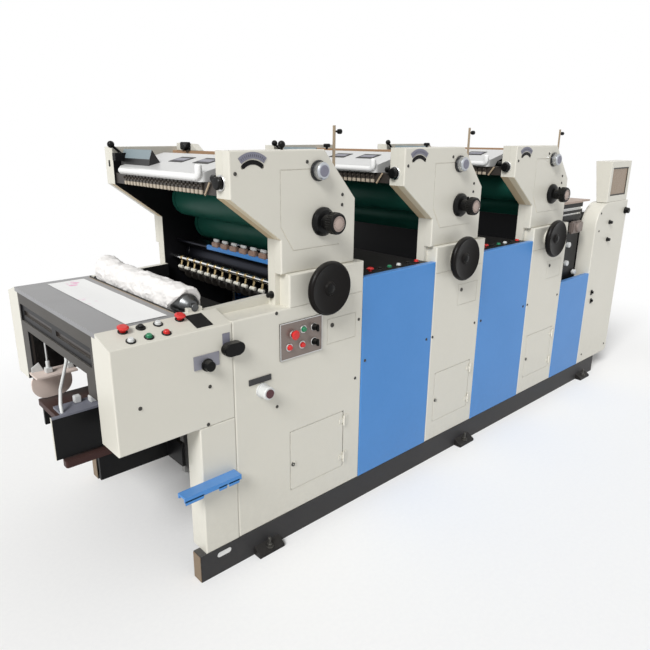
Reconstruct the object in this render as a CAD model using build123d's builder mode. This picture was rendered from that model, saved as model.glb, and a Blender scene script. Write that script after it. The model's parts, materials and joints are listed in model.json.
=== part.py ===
"""Three-unit sheet-fed offset printing press.

Millimetres. X runs along the press from the delivery to the feeder, the operator side
faces -Y, and Z is up from the floor. The origin is the bottom centre of the whole press.
"""

import os
from math import cos, radians, sin, sqrt

from build123d import *

# Driving dimensions of the whole press
UNITS = 3
PITCH = 936.0               # from one printing unit to the next
WIDTH = 1060.0              # over the lower covers
RAIL_HEIGHT = 120.0         # base rails
COVER_HEIGHT = 930.0        # rails to the seam of the lower covers
SHOULDER_RISE = 133.0       # seam to the top of the lower covers
HEAD_CLEAR = 40.0           # ink drum to the top of a unit
UNIT_LEAD = 275.0           # station of a unit to the front of its cover
COVER_LENGTH = 422.0        # lower cover of one unit
DELIVERY_LENGTH = 468.0     # delivery boxes, from their front to unit 1
JOGGER_OVERHANG = 130.0     # operator-side jogger beyond the delivery front
LAST_PANEL = 403.0          # blue panel between the last unit and the feeder
FEEDER_LENGTH = 478.0

# Layers on each side of the press
LOWER_DEPTH = 60.0          # lower covers
UPPER_DEPTH = 40.0          # upper covers
FRAME_THICK = 45.0          # side frames
RAIL_WIDTH = 55.0
COVER_WALL = 4.0
LOWER_ROUND = 8.0           # rounded edges of the lower covers
UPPER_ROUND = 6.0           # rounded edges of the upper covers
GROOVE_WIDTH = 3.0          # engraved seams
GROOVE_DEPTH = 1.5
TOUCH = 0.01                # tolerance for picking faces

# Base
RAIL_LEAD = 185.0           # rails in front of unit 1's station
RAIL_SHORT = 210.0          # rails short of the feeder's end
RAIL_WEB = 12.0
RAIL_FLANGE = 14.0
RAIL_SLOT_LENGTH = 70.0
RAIL_SLOT_HEIGHT = 26.0
RAIL_SLOT_LEAD = 110.0      # slot, from the end of the rail
RAIL_SLOT_DROP = 34.0       # slot, below the top of the rail
BEAM_WIDTH = 60.0
BEAM_CLEAR = 12.0           # beams above the floor
BEAM_INSET = 40.0           # beams, inside the ends of each unit
FOOT_REACH = 42.0           # levelling feet beyond the covers
FOOT_LENGTH = 130.0
FOOT_HEIGHT = 38.0
FOOT_TOE = 14.0             # height of a foot at its tip
FOOT_INSET = 72.0           # first foot, from unit 1's station
FOOT_TAIL = 125.0           # last foot, from the end of the rails
FOOT_MIDDLE = 559.0         # middle foot, from unit 2's station

# Side view of one printing unit
FRAME_LEAD = 23.0           # side frames in front of the lower covers
BACK_INSET = 45.0           # side frames short of the covers' back
NOSE_REACH = 226.0          # nose in front of the side frames
NOSE_FACE = 166.0           # height of the nose front
THROAT_RISE = 134.0         # shoulder to the throat corner
CHAMFER_LEAD = 89.0         # plate cylinder axis to the sloping back
CHAMFER_DROP = 198.0

# Printing cylinders
CYLINDER_R = 85.0
CYLINDER_GAP = 5.0          # between the barrels
BARREL_INSET = 25.0         # barrel ends, from the side frames
BEARER_WIDTH = 24.0         # rings at the barrel ends
BEARER_GROOVE = 6.0
BEARER_DEPTH = 4.0
CHANNEL_WIDTH = 24.0        # clamping channel along the barrel
CHANNEL_DEPTH = 14.0
CHANNEL_INSET = 40.0        # channel ends, from the barrel ends
JOURNAL_R = 30.0
JOURNAL_SHORT = 5.0         # journals short of the frames' outer face
RUNNING = 0.06              # radial running clearance at journals and pins
IMPRESSION_LEAD = 167.0     # impression cylinder, from the cover's front
IMPRESSION_DROP = 71.0      # impression cylinder, below the shoulder
BLANKET_ANGLE = 69.0        # blanket cylinder above the impression cylinder
PLATE_ANGLE = 133.0         # plate cylinder above the blanket cylinder

# Ink train
FORM_R = 32.0
DRUM_R = 52.0
RIDER_R = 33.0
DUCTOR_R = 28.0
FOUNTAIN_R = 38.0
FORM_ANGLE = 55.0           # form rollers on the plate cylinder
RIDER_ANGLE = 12.0          # rider rollers beside the drum
ROLLER_INSET = 90.0         # roller ends, from the side frames
SPINDLE_R = 10.0
DUCTOR_LEAD = 196.0         # ductor roller, behind the nose front
DUCTOR_DROP = 90.0          # ductor roller, below the top
FOUNTAIN_LEAD = 114.0
FOUNTAIN_DROP = 102.0
HOOD_LEAD = 14.0            # fountain hood in front of the nose
HOOD_LENGTH = 231.0
HOOD_LOW = 114.0            # skirt of the hood, below the top
HOOD_FRONT = 82.0           # front edge of the hood, below the top
HOOD_BACK = 26.0            # back edge of the hood, below the top
HOOD_INSET = 80.0           # hood ends, from the side frames
HOOD_WALL = 5.0
HOOD_ROUND = 22.0
HOOD_SLOT_LENGTH = 66.0
HOOD_SLOT_WIDTH = 14.0
HOOD_SLOT_LEAD = 128.0      # slots, behind the nose front
HOOD_SLOT_STEP = 98.0       # slots, from the middle
HOOD_SLOT_SHIFT = -70.0     # pair of slots, towards the operator
INK_BAR_LEAD = 8.0          # fountain bar, behind the nose front
INK_BAR_WIDTH = 50.0
INK_BAR_HEIGHT = 46.0
GUARD_GAP = 7.0             # guards, from the hood
GUARD_THICK = 29.0
GUARD_LEAD = 21.0           # guards in front of the nose
GUARD_LENGTH = 183.0
GUARD_HEIGHT = 33.0
GUARD_DROP = 25.0           # guards, below the top
GUARD_TAIL = 24.0           # sloping end of a guard
GUARD_LUG_LEAD = 100.0      # lug that holds a guard, behind the nose front
GUARD_LUG_WIDTH = 50.0
GUARD_LUG_HEIGHT = 22.0
TIE_WIDTH = 38.0            # tie bar over the ink drum
TIE_HEIGHT = 18.0
TIE_CLEAR = 4.0

# Hand-turned pieces
WHEEL_R = 112.0
WHEEL_CLEAR = 15.0          # handwheel hub, from the cover
WHEEL_DEPTH = 54.0
WHEEL_RIM = 32.0            # width of the rolled rim
WHEEL_HUB_R = 30.0
WHEEL_HUB = 12.0
WHEEL_DISH = 14.0           # depth of the dished front
WHEEL_BOSS_R = 24.0
WHEEL_BOSS = 7.0
SHAFT_R = 22.0
BOSS_R = 46.0               # bearing boss on the cover, behind the handwheel
BOSS_DEPTH = 8.0
PIN_R = 8.0
PIN_DEPTH = 24.0
PIN_END = 1.0               # room behind a pin, and behind a knob
WATER_LEAD = 190.0          # water knob, from the cover's front
WATER_RISE = 188.0          # water knob, above the shoulder
WATER_REACH = 98.0          # water knob, from its cover
WATER_FLANGE_R = 58.0
WATER_FLANGE = 22.0
WATER_NECK_R = 30.0
WATER_NECK = 34.0
WATER_GRIP_R = 42.0
GRIP_ROUND = 5.0
FACE_RECESS = 3.0
FACE_RIM = 6.0
INK_LEAD = 165.0            # ink knob, from the cover's front
INK_DROP = 80.0             # ink knob, below the top
INK_BASE_R = 40.0
INK_BASE = 8.0
INK_GRIP_R = 33.0
INK_REACH = 38.0
LEVER_LEAD = 75.0           # lever pivot, behind the nose front
LEVER_DROP = 68.0           # lever pivot, below the top
LEVER_LENGTH = 119.0
LEVER_ANGLE = 138.4
LEVER_R = 6.0
LEVER_HUB_R = 14.0
LEVER_HUB = 28.0
LEVER_CLEAR = 2.0           # hub, from the side frame
LEVER_ARM = 22.0            # arm, from the side frame
BALL_R = 16.0

# Details of the upper covers
SCALE_LEAD = 100.0          # centre of the curved slot, behind the nose front
SCALE_DROP = 107.0          # centre of the curved slot, below the top
SCALE_R = 66.0
SCALE_WIDTH = 15.0
SCALE_SWEEP = 82.0
SCALE_DEPTH = 8.0
HATCH_LEAD = 25.0           # engraved hatch, in front of the lower cover
HATCH_DROP = 71.0           # top of the hatch, below the top
HATCH_KNEE = 182.0          # corners of the hatch, above the shoulder
HATCH_FOOT = 86.0
HATCH_RUN = 62.0            # sloping lower corner of the hatch
HATCH_LENGTH = 310.0
POST_LEAD = 560.0           # upright post, from the unit's station
POST_RISE = 90.0            # upright post, above the top
POST_WIDTH = 11.0
POST_THICK = 6.0

# Access doors
DOOR_WIDTH = 310.0
DOOR_HEIGHT = 275.0
DOOR_RISE = 108.0           # doors above the rails
DOOR_SHIFT = 56.0           # unit 1's door, towards the delivery
DOOR_GAP = 5.0
DOOR_CORNER = 8.0
LOCK_R = 9.0
LOCK_INSET = 18.0
LOCK_DROP = 15.0            # lock, below the door's middle
LOCK_REACH = 4.0
KNUCKLE_R = 5.0
KNUCKLE_STAND = 0.5         # knuckles, from the cover
KNUCKLE_GAP = 0.5           # between the knuckles of one hinge
HINGE_SET = 3.0             # hinge axis, beyond the door's edge
HINGE_LENGTH = 48.0
HINGE_INSET = 45.0          # hinges, from the door's top and bottom
HINGE_PIN_R = 3.0
DOOR_KNUCKLE = 20.0
LEAF_WIDTH = 20.0
LEAF_THICK = 3.0
LEAF_SET = 6.0              # leaves, from the hinge axis
HATCH_PANEL_LEAD = 205.0    # small engraved panel, from the cover's front
HATCH_PANEL_WIDTH = 172.0
HATCH_PANEL_HEIGHT = 115.0
HATCH_PANEL_DROP = 88.0     # small engraved panel, below the seam

# Panels between the units
PANEL_RISE = 58.0           # tall blue panels, above the seam
LOW_PANEL_HEIGHT = 671.0    # blue panel beside the feeder, above the rails
PANEL_DEPTH = 30.0
PANEL_WALL = 3.0
PANEL_ROUND = 5.0
STRIP_INSET = 5.0           # button strips, from the side frames' inner face
STRIP_HEIGHT = 20.0
TRAY_DROP = 8.0
THROAT_GUARD = 30.0         # sheet guard in a throat, behind the frames' front
THROAT_GUARD_TOP = 62.0     # top of the sheet guard, above the shoulder
THROAT_GUARD_LEAN = 24.0
SHEET = 4.0                 # thickness of sheet guards

# Delivery
TABLE_RISE = 28.0           # delivery table, above the seam
TABLE_THICK = 18.0
TABLE_SHORT = 143.0         # table, short of unit 1
BOX_HEIGHT = 414.0
BOX_WIDTH = 137.0
BOX_LEDGE = 30.0            # ledge that carries the table
BOX_ROUND = 5.0
DESK_DROP = 34.0            # slope of the box tops
DELIVERY_POST = 156.0       # length of the post under each box
POST_DEPTH = 100.0
FRONT_THICK = 20.0
FRONT_HEIGHT = 155.0        # front panel, below the table
FRONT_BAND = 45.0           # upper band of the front panel
FRONT_LIP = 35.0            # lower band of the front panel
FRONT_INSET = 18.0          # recess, from the ends of the front panel
FRONT_RECESS = 7.0
FRONT_SLOT_HEIGHT = 24.0
FRONT_SLOT_INSET = 40.0
FRONT_SLOT_MIDDLE = 22.0    # half the bridge between the two slots
FRONT_SLOT_DEPTH = 15.0
LEG_WIDTH = 77.0
LEG_LENGTH = 215.0          # drive-side leg
LEG_SHORT = 80.0            # operator-side leg, which stops above the jogger
CHEEK_HEIGHT = 98.0         # cheeks, below the table
CHEEK_RISE = 8.0            # cheeks, at unit 1 above the table
SADDLE_WIDTH = 60.0
SADDLE_DEPTH = 22.0
CHEEK_LEAD = 130.0          # cheeks in front of unit 1
ROLL_R = 60.0
ROLL_LEAD = 82.0            # wrapped roller, in front of unit 1
ROLL_RISE = 15.0            # wrapped roller axis, above the table
ROLL_INSET = 50.0           # wrapped roller ends, from the side frames
ROLL_PIN_R = 15.0
ROLL_PIN_INSET = 7.0
WELL_DEPTH = 83.0           # floor of the sheet well, below the table
WELL_END = 205.0            # well floor, behind unit 1's station
WELL_WALL = 10.0
STAR_R = 28.0               # sheet wheels in the delivery
STAR_WIDTH = 16.0
STAR_STEP = 60.0
STAR_INSET = 90.0           # outer sheet wheels, from the side frames
STAR_ANGLE = 214.0          # sheet wheels beside the impression cylinder
STAR_CLEAR = 12.0
STAR_SHAFT_R = 9.0
CHROME_R = 10.0             # bright bar in the throat
CHROME_ANGLE = 177.0
CHROME_CLEAR = 47.0

# Sheet pile in the delivery
BOARD_DROP = 72.0           # board, below the delivery boxes
BOARD_THICK = 25.0
BOARD_RUNNER = 40.0         # runner under the operator-side jogger
RUNNER_SHORT = 26.0         # runner, behind the jogger's tip
BOARD_TAIL = 118.0          # board, behind unit 1's station
BOARD_INSET = 115.0         # board edges, from the side frames
BOARD_CORNER = 10.0
CARRIAGE_PLATE = 14.0       # side plates under the board
CARRIAGE_HEIGHT = 97.0
CARRIAGE_LEAD = 14.0        # side plates, behind the delivery front
CARRIAGE_CLEAR = 8.0        # cross plate, from the posts
CARRIAGE_BAR = 40.0         # bars from the cross plate to the guides
CARRIAGE_BAR_HEIGHT = 25.0
CARRIAGE_REACH = 110.0      # cross plate, beyond the board
CARRIAGE_INSET = 5.0        # side plates, from the board's edges
SHOE_WIDTH = 52.0
SHOE_LEAD = 45.0            # shoes in front of the guides, and round them
SHOE_GRIP = 26.0
SHOE_ABOVE = 40.0           # shoes, above and below the board's top
SHOE_BELOW = 90.0
GUIDE_INSET = 95.0          # guides, from the board's edges
GUIDE_WIDTH = 30.0
GUIDE_DEPTH = 40.0
GUIDE_LOW = 20.0
GUIDE_HIGH = 75.0           # top of the guides, below the seam
GUIDE_FIT = 0.3
JOGGER_INSET = 25.0         # joggers, from the board's edges
JOGGER_THICK = 10.0
JOGGER_CLEAR = 8.0          # joggers, above the board
JOGGER_HEIGHT = 164.0
JOGGER_LENGTH = 300.0
FAR_JOGGER_HEIGHT = 130.0
FAR_JOGGER_LENGTH = 172.0
FAR_JOGGER_LEAD = 24.0
FAR_JOGGER_ROUND = 60.0
FLANGE_THICK = 8.0
FLANGE_WIDTH = 95.0
FLANGE_LEAD = 40.0          # flange, behind the jogger's tip
HANGER_R = 5.0
HANGER_INSET = 45.0
SHAFT_DROP = 138.0          # jogger shafts, below the table
SHAFT_LEAD = 40.0           # first jogger shaft, behind the delivery front
SHAFT_STEP = 90.0           # to the second jogger shaft
JOGGER_SHAFT_R = 10.0

# Foot step
STEP_LENGTH = 250.0
STEP_REACH = 50.0
STEP_HEIGHT = 20.0
STEP_DROP = 220.0           # step, below the delivery boxes
STEP_INSET = 14.0
STEP_WALL = 6.0

# Controls
PANEL_PLATE_LEAD = 53.0     # control plate, in front of the cover
PANEL_PLATE_WIDTH = 226.0
PANEL_PLATE_HEIGHT = 156.0
PANEL_PLATE_DROP = 58.0     # control plate, below the seam
PLATE_THICK = 4.0
DIAL_PLATE_LEAD = 167.0     # dial plate on the delivery box
DIAL_PLATE_WIDTH = 105.0
DIAL_PLATE_HEIGHT = 52.0
DIAL_PLATE_DROP = 127.0     # dial plate, below the table
SLOT_PLATE_LEAD = 68.0      # dark plate above the white knob
SLOT_PLATE_WIDTH = 107.0
SLOT_PLATE_HEIGHT = 24.0
SLOT_PLATE_DROP = 252.0
WHITE_KNOB_LEAD = 131.0
WHITE_KNOB_DROP = 310.0
WHITE_KNOB_REACH = 50.0
OVAL_KNOB_LEAD = 10.0
OVAL_KNOB_DROP = 100.0
PANEL_MUSHROOM = (67.0, 102.0)  # buttons on the control plate, from its lower left corner
PANEL_REDS = ((46.0, 51.0), (114.0, 48.0))
PANEL_GREEN = (121.0, 113.0)
PANEL_SELECTORS = ((178.0, 111.0), (178.0, 48.0))
STRIP_BUTTONS = 6
STRIP_MUSHROOM = 0          # order of the buttons along a strip
STRIP_BLACKS = (1, 4)
STRIP_GREEN = 2
STRIP_WHITE = 3
STRIP_RED = 5
STRIP_START = 110.0         # first button of a strip, from the cover
STRIP_STOP = 50.0           # last button of a strip, from the next unit
DESK_FIRST = 88.0           # first desk button, behind the delivery front
DESK_STEP = 65.0
DESK_LAST = 303.0
DESK_ROW_IN = 85.0          # rows of desk buttons, from the box front
DESK_ROW_OUT = 27.0
DIAL_RISE = 12.0            # dial knob, above the lower edge of its plate
FEEDER_DIAL_INSET = 29.0    # dial knob on the feeder, from its end and its top
FEEDER_DIAL_DROP = 74.0
FEEDER_SWITCH_LEAD = 209.0  # switches on the feeder, from its front and its top
FEEDER_SWITCH_DROP = 138.0
FEEDER_SWITCH_STEP = 121.0
NOSE_KNOB_R = 14.0          # knob inside each nose
NOSE_KNOB_REACH = 22.0
NOSE_KNOB_LEAD = 2.0
NOSE_KNOB_DROP = 98.0
CORNER_KNOB_RISE = 14.0     # knob at the end of the delivery, above the table
TOP_BALL_R = 14.0           # ball knob on top of unit 1
TOP_STEM_R = 5.0

# Buttons and knobs, each a stack of (low radius, high radius, height)
MUSHROOM = [(10.0, 10.0, 12.0), (15.0, 20.0, 4.0), (20.0, 20.0, 3.0), (20.0, 13.0, 4.0)]
SMALL_MUSHROOM = [(9.0, 9.0, 9.0), (12.0, 17.0, 4.0), (17.0, 17.0, 3.0), (17.0, 11.0, 4.0)]
PUSH = [(12.0, 12.0, 5.0), (10.0, 10.0, 6.0), (10.0, 8.0, 2.0)]
SELECTOR = [(15.0, 15.0, 6.0), (12.0, 10.0, 16.0)]
DIAL = [(24.0, 24.0, 6.0), (21.0, 19.0, 22.0), (19.0, 16.0, 2.0)]
WHITE_KNOB = [(30.0, 30.0, 8.0), (27.0, 27.0, 38.0), (27.0, 24.0, 4.0)]
WHITE_KNOB_FACE = [(18.0, 18.0, 4.0)]

# Feeder
FEEDER_RISE = 84.0          # feeder covers, above the shoulder
FEEDER_ROUND = 165.0
FEEDER_CORNER = 30.0
SCREEN_WIDTH = 320.0
SCREEN_HEIGHT = 273.0
SCREEN_INSET = 30.0         # screen box, from the feeder's end
SCREEN_SET = 2.0            # screen box, behind the cover's front
SCREEN_TOP_DEPTH = 110.0
SCREEN_LOW_DEPTH = 72.0
SCREEN_BORDER = 32.0
SCREEN_SILL = 42.0
SCREEN_RECESS = 10.0
SCREEN_ROUND = 4.0
COLUMN_WIDTH = 170.0        # columns beside the feed table
COLUMN_LEAD = 257.0         # columns, in front of the feeder
COLUMN_DEPTH = 55.0
COLUMN_INSET = 15.0         # columns, inside the frames' outer face
HEAD_LEAD = 332.0           # head over the feed table, in front of the feeder
HEAD_LENGTH = 260.0
HEAD_LOW = 11.0             # underside of the head, below the shoulder
HEAD_HEIGHT = 110.0
HEAD_GROOVE = 12.0
HEAD_PLATE = 10.0
HEAD_PLATE_LENGTH = 360.0
HEAD_SHAFT_R = 30.0
HEAD_SHAFT_DROP = 43.0      # shaft under the head, below the shoulder
SUCTION_LEAD = 60.0         # suction bar, behind the feeder's front
SUCTION_WIDTH = 90.0
SUCTION_HEIGHT = 60.0
SUCTION_DROP = 43.0         # suction bar, below the shoulder
SUCTION_FOOT = 50.0
SUCTION_FOOT_R = 9.0
SUCTION_STEP = 120.0
SUCTION_FEET = 4
FEED_TABLE_INSET = 45.0     # feed table edges, from the side frames
FEED_TABLE_DROP = 50.0      # feed table at unit 3, below the seam
FEED_TABLE_RISE = 30.0
FEED_TABLE_THICK = 15.0
FEED_BAR = 30.0
FEED_BAR_LEAD = 10.0
PILE_BOARD_RISE = 180.0     # feeder board, above the rails
PILE_BOARD_THICK = 30.0


def polar(centre, angle, reach):
    """Point at an angle and a distance from a centre in the side view."""
    return centre[0] + reach * cos(radians(angle)), centre[1] + reach * sin(radians(angle))


# Derived layers, heights and places along the press
OPERATOR, DRIVE = -1, 1
HALF = WIDTH / 2                                    # front of the lower covers
FRAME_OUT = HALF - LOWER_DEPTH
FRAME_IN = FRAME_OUT - FRAME_THICK
UPPER_OUT = FRAME_OUT + UPPER_DEPTH
RAIL_IN = HALF - RAIL_WIDTH
FRONT_REACH = max(UPPER_OUT + WATER_REACH, HALF + WHEEL_CLEAR + WHEEL_DEPTH, HALF + STEP_REACH) - HALF
MID = (FRONT_REACH - FOOT_REACH) / 2                # mid-plane of the press
SEAM = RAIL_HEIGHT + COVER_HEIGHT
SHOULDER = SEAM + SHOULDER_RISE
COVER_X, COVER_END = UNIT_LEAD, UNIT_LEAD + COVER_LENGTH
FRAME_X, BACK_X = COVER_X - FRAME_LEAD, COVER_END - BACK_INSET
NOSE_X = FRAME_X - NOSE_REACH
LENGTH = (JOGGER_OVERHANG + DELIVERY_LENGTH + (UNITS - 1) * PITCH + COVER_END + LAST_PANEL
          + FEEDER_LENGTH)
X_FRONT = -LENGTH / 2                               # tip of the operator-side jogger
BOX_X = X_FRONT + JOGGER_OVERHANG                   # front of the delivery
X0 = BOX_X + DELIVERY_LENGTH                        # station of unit 1
STATIONS = [X0 + PITCH * i for i in range(UNITS)]
FEEDER_X = STATIONS[-1] + COVER_END + LAST_PANEL
FEEDER_END = FEEDER_X + FEEDER_LENGTH
RAIL_END = FEEDER_END - RAIL_SHORT

# Cylinders and ink rollers stand against each other, each with the same small gap
CYLINDER_STEP = 2 * CYLINDER_R + CYLINDER_GAP
IMPRESSION = (COVER_X + IMPRESSION_LEAD, SHOULDER - IMPRESSION_DROP)
BLANKET = polar(IMPRESSION, BLANKET_ANGLE, CYLINDER_STEP)
PLATE = polar(BLANKET, PLATE_ANGLE, CYLINDER_STEP)
FORM_STEP = CYLINDER_R + FORM_R + CYLINDER_GAP
LEFT_FORM = polar(PLATE, 180 - FORM_ANGLE, FORM_STEP)
RIGHT_FORM = polar(PLATE, FORM_ANGLE, FORM_STEP)
DRUM_STEP = FORM_R + DRUM_R + CYLINDER_GAP
DRUM = (PLATE[0], RIGHT_FORM[1] + sqrt(DRUM_STEP ** 2 - (RIGHT_FORM[0] - PLATE[0]) ** 2))
RIDER_STEP = DRUM_R + RIDER_R + CYLINDER_GAP
TOP = DRUM[1] + DRUM_R + HEAD_CLEAR                 # top of the units
INK_ROLLERS = [
    (LEFT_FORM, FORM_R),
    (RIGHT_FORM, FORM_R),
    (DRUM, DRUM_R),
    (polar(DRUM, 180 - RIDER_ANGLE, RIDER_STEP), RIDER_R),
    (polar(DRUM, RIDER_ANGLE, RIDER_STEP), RIDER_R),
    ((NOSE_X + DUCTOR_LEAD, TOP - DUCTOR_DROP), DUCTOR_R),
    ((NOSE_X + FOUNTAIN_LEAD, TOP - FOUNTAIN_DROP), FOUNTAIN_R),
]
BARREL_HALF = FRAME_IN - BARREL_INSET
JOURNAL_END = FRAME_OUT - JOURNAL_SHORT
ROLLER_HALF = FRAME_IN - ROLLER_INSET
WATER_KNOB = (COVER_X + WATER_LEAD, SHOULDER + WATER_RISE)
INK_KNOB = (COVER_X + INK_LEAD, TOP - INK_DROP)
LEVER_PIVOT = (NOSE_X + LEVER_LEAD, TOP - LEVER_DROP)
WHEEL_BACK = HALF + WHEEL_CLEAR

# Doors, delivery, pile and feeder
DOOR_X = COVER_X + (COVER_LENGTH - DOOR_WIDTH) / 2
DOOR_SPOTS = [station + DOOR_X - (DOOR_SHIFT if station == X0 else 0) for station in STATIONS]
DOOR_BOTTOM = RAIL_HEIGHT + DOOR_RISE
DOOR_TOP = DOOR_BOTTOM + DOOR_HEIGHT
HINGE_Y = MID - HALF - KNUCKLE_R - KNUCKLE_STAND
HINGE_SPOTS = (DOOR_BOTTOM + HINGE_INSET, DOOR_TOP - HINGE_INSET)
PANEL_TOP = SEAM + PANEL_RISE
LOW_PANEL_TOP = RAIL_HEIGHT + LOW_PANEL_HEIGHT
PANEL_IN = HALF - PANEL_DEPTH
TABLE_TOP = SEAM + TABLE_RISE
TABLE_LOW = TABLE_TOP - TABLE_THICK
BOX_BOTTOM = TABLE_TOP - BOX_HEIGHT
BOX_IN = HALF - BOX_WIDTH
TABLE_HALF = BOX_IN + BOX_LEDGE
ROLL = (X0 - ROLL_LEAD, TABLE_TOP + ROLL_RISE)
STAR = polar(IMPRESSION, STAR_ANGLE, CYLINDER_R + STAR_R + STAR_CLEAR)
STAR_COUNT = int(2 * (FRAME_IN - STAR_INSET) // STAR_STEP) + 1
CHROME = polar(IMPRESSION, CHROME_ANGLE, CYLINDER_R + CHROME_R + CHROME_CLEAR)
BOARD_TOP = BOX_BOTTOM - BOARD_DROP
BOARD_LOW = BOARD_TOP - BOARD_THICK
BOARD_HALF = FRAME_IN - BOARD_INSET
GUIDE_X = X0 + WELL_END - GUIDE_DEPTH
GUIDE_OUT = BOARD_HALF - GUIDE_INSET
JOGGER_OUT = BOARD_HALF - JOGGER_INSET
JOGGER_LOW = BOARD_TOP + JOGGER_CLEAR
FEEDER_TOP = SHOULDER + FEEDER_RISE
COLUMN_OUT = FRAME_OUT - COLUMN_INSET

os.makedirs("parts", exist_ok=True)


def depth(side, inner, outer):
    """Both Y values of a layer on one side of the press, lower value first."""
    a, b = MID + side * inner, MID + side * outer
    return min(a, b), max(a, b)


def across(half):
    """Both Y values of a piece that reaches equally to both sides."""
    return MID - half, MID + half


def at(station, points):
    """Shift a unit outline to its station."""
    return [(station + x, z) for x, z in points]


def block(x, y, z, mode=Mode.ADD):
    """Rectangular block between pairs of values."""
    with Locations((x[0], y[0], z[0])):
        Box(x[1] - x[0], y[1] - y[0], z[1] - z[0], align=(Align.MIN,) * 3, mode=mode)


def slab(points, y, mode=Mode.ADD, rounding=0.0):
    """Side-view outline filled between two Y values."""
    with BuildSketch(Plane.XZ.offset(-y[1])) as outline:
        Polygon(*points, align=None)
        if rounding:
            fillet(outline.vertices(), rounding)
    extrude(outline.sketch, amount=y[1] - y[0], mode=mode)


def bar(points, x, mode=Mode.ADD):
    """End-view outline of (y, z) pairs filled between two X values."""
    with BuildSketch(Plane.YZ.offset(x[0])) as outline:
        Polygon(*points, align=None)
    extrude(outline.sketch, amount=x[1] - x[0], mode=mode)


def rod(x, z, y, radius, mode=Mode.ADD):
    """Round bar lying across the press."""
    with Locations(Location((x, (y[0] + y[1]) / 2, z), (90, 0, 0))):
        Cylinder(radius, y[1] - y[0], mode=mode)


def post(x, y, z, radius, mode=Mode.ADD):
    """Upright round bar."""
    with Locations((x, y, z[0])):
        Cylinder(radius, z[1] - z[0], align=(Align.CENTER, Align.CENTER, Align.MIN), mode=mode)


def lathe_plane(x, y, z):
    """Plane whose x is a radius and whose y is a reach towards the operator."""
    return Plane(origin=(x, y, z), x_dir=(1, 0, 0), z_dir=(0, 0, -1))


def turned(x, y, z, profile, mode=Mode.ADD):
    """Round piece facing the operator, from (radius, reach) pairs."""
    with BuildSketch(lathe_plane(x, y, z)) as outline:
        Polygon(*profile, align=None)
    revolve(outline.sketch, axis=Axis((x, y, z), (0, 1, 0)), mode=mode)


def ball(x, y, z, radius):
    """Ball knob."""
    with BuildSketch(Plane(origin=(x, y, z), x_dir=(1, 0, 0), z_dir=(0, -1, 0))) as half:
        Circle(radius)
        Rectangle(2 * radius, 2 * radius, align=(Align.MAX, Align.CENTER), mode=Mode.SUBTRACT)
    revolve(half.sketch, axis=Axis((x, y, z), (0, 0, 1)))


def soften(piece, y, radius):
    """Round the edges of the flat faces that lie at one Y value."""
    outer = piece.faces().filter_by(Axis.Y).filter_by_position(Axis.Y, y - TOUCH, y + TOUCH)
    fillet(outer.edges(), radius)


def engrave(points, out):
    """Shallow groove cut into an operator-side cover along a closed outline."""
    slab(points, depth(OPERATOR, out - GROOVE_DEPTH, out), Mode.SUBTRACT)


def save(piece, name):
    """Label a finished piece and write it out."""
    piece.part.label = name
    export_step(piece.part, f"parts/{name}.step")


# Base

with BuildPart() as base_rails:
    for side in (OPERATOR, DRIVE):
        y = depth(side, RAIL_IN, HALF)
        block((X0 - RAIL_LEAD, RAIL_END), y, (0, RAIL_HEIGHT))
        block((X0 - RAIL_LEAD, RAIL_END), depth(side, RAIL_IN, HALF - RAIL_WEB),
              (RAIL_FLANGE, RAIL_HEIGHT - RAIL_FLANGE), Mode.SUBTRACT)
        with BuildSketch(Plane.XZ.offset(-y[1])) as slot:
            with Locations((X0 - RAIL_LEAD + RAIL_SLOT_LEAD, RAIL_HEIGHT - RAIL_SLOT_DROP)):
                SlotOverall(RAIL_SLOT_LENGTH, RAIL_SLOT_HEIGHT)
        extrude(slot.sketch, amount=RAIL_WIDTH, mode=Mode.SUBTRACT)
save(base_rails, "base_rails")

with BuildPart() as base_beams:
    fronts = [X0 + WELL_END, FEEDER_X - COLUMN_LEAD, FEEDER_X + BEAM_INSET,
              RAIL_END - BEAM_INSET - BEAM_WIDTH]
    for station in STATIONS:
        fronts += [station + FRAME_X + BEAM_INSET, station + BACK_X - BEAM_INSET - BEAM_WIDTH]
    for x in fronts:
        block((x, x + BEAM_WIDTH), across(RAIL_IN), (BEAM_CLEAR, RAIL_HEIGHT))
save(base_beams, "base_beams")

with BuildPart() as levelling_feet:
    for x in (X0 + FOOT_INSET, STATIONS[1] + FOOT_MIDDLE, RAIL_END - FOOT_TAIL - FOOT_LENGTH):
        for side in (OPERATOR, DRIVE):
            tip = HALF + FOOT_REACH
            section = [(HALF, 0), (tip, 0), (tip, FOOT_TOE), (HALF, FOOT_HEIGHT)]
            bar([(MID + side * y, z) for y, z in section], (x, x + FOOT_LENGTH))
save(levelling_feet, "levelling_feet")

# Printing units

HEAD = [(NOSE_X, TOP), (NOSE_X, TOP - NOSE_FACE), (FRAME_X, SHOULDER + THROAT_RISE)]
BACK = [(BACK_X, TOP - CHAMFER_DROP), (PLATE[0] + CHAMFER_LEAD, TOP)]
FRAME_OUTLINE = HEAD + [(FRAME_X, RAIL_HEIGHT), (BACK_X, RAIL_HEIGHT)] + BACK
UPPER_OUTLINE = HEAD + [(FRAME_X, SHOULDER), (BACK_X, SHOULDER)] + BACK
SCALE_START = 90 - SCALE_SWEEP / 2
SCALE_ARCS = [CenterArc((station + NOSE_X + SCALE_LEAD, TOP - SCALE_DROP), SCALE_R, SCALE_START, SCALE_SWEEP)
              for station in STATIONS]

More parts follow.
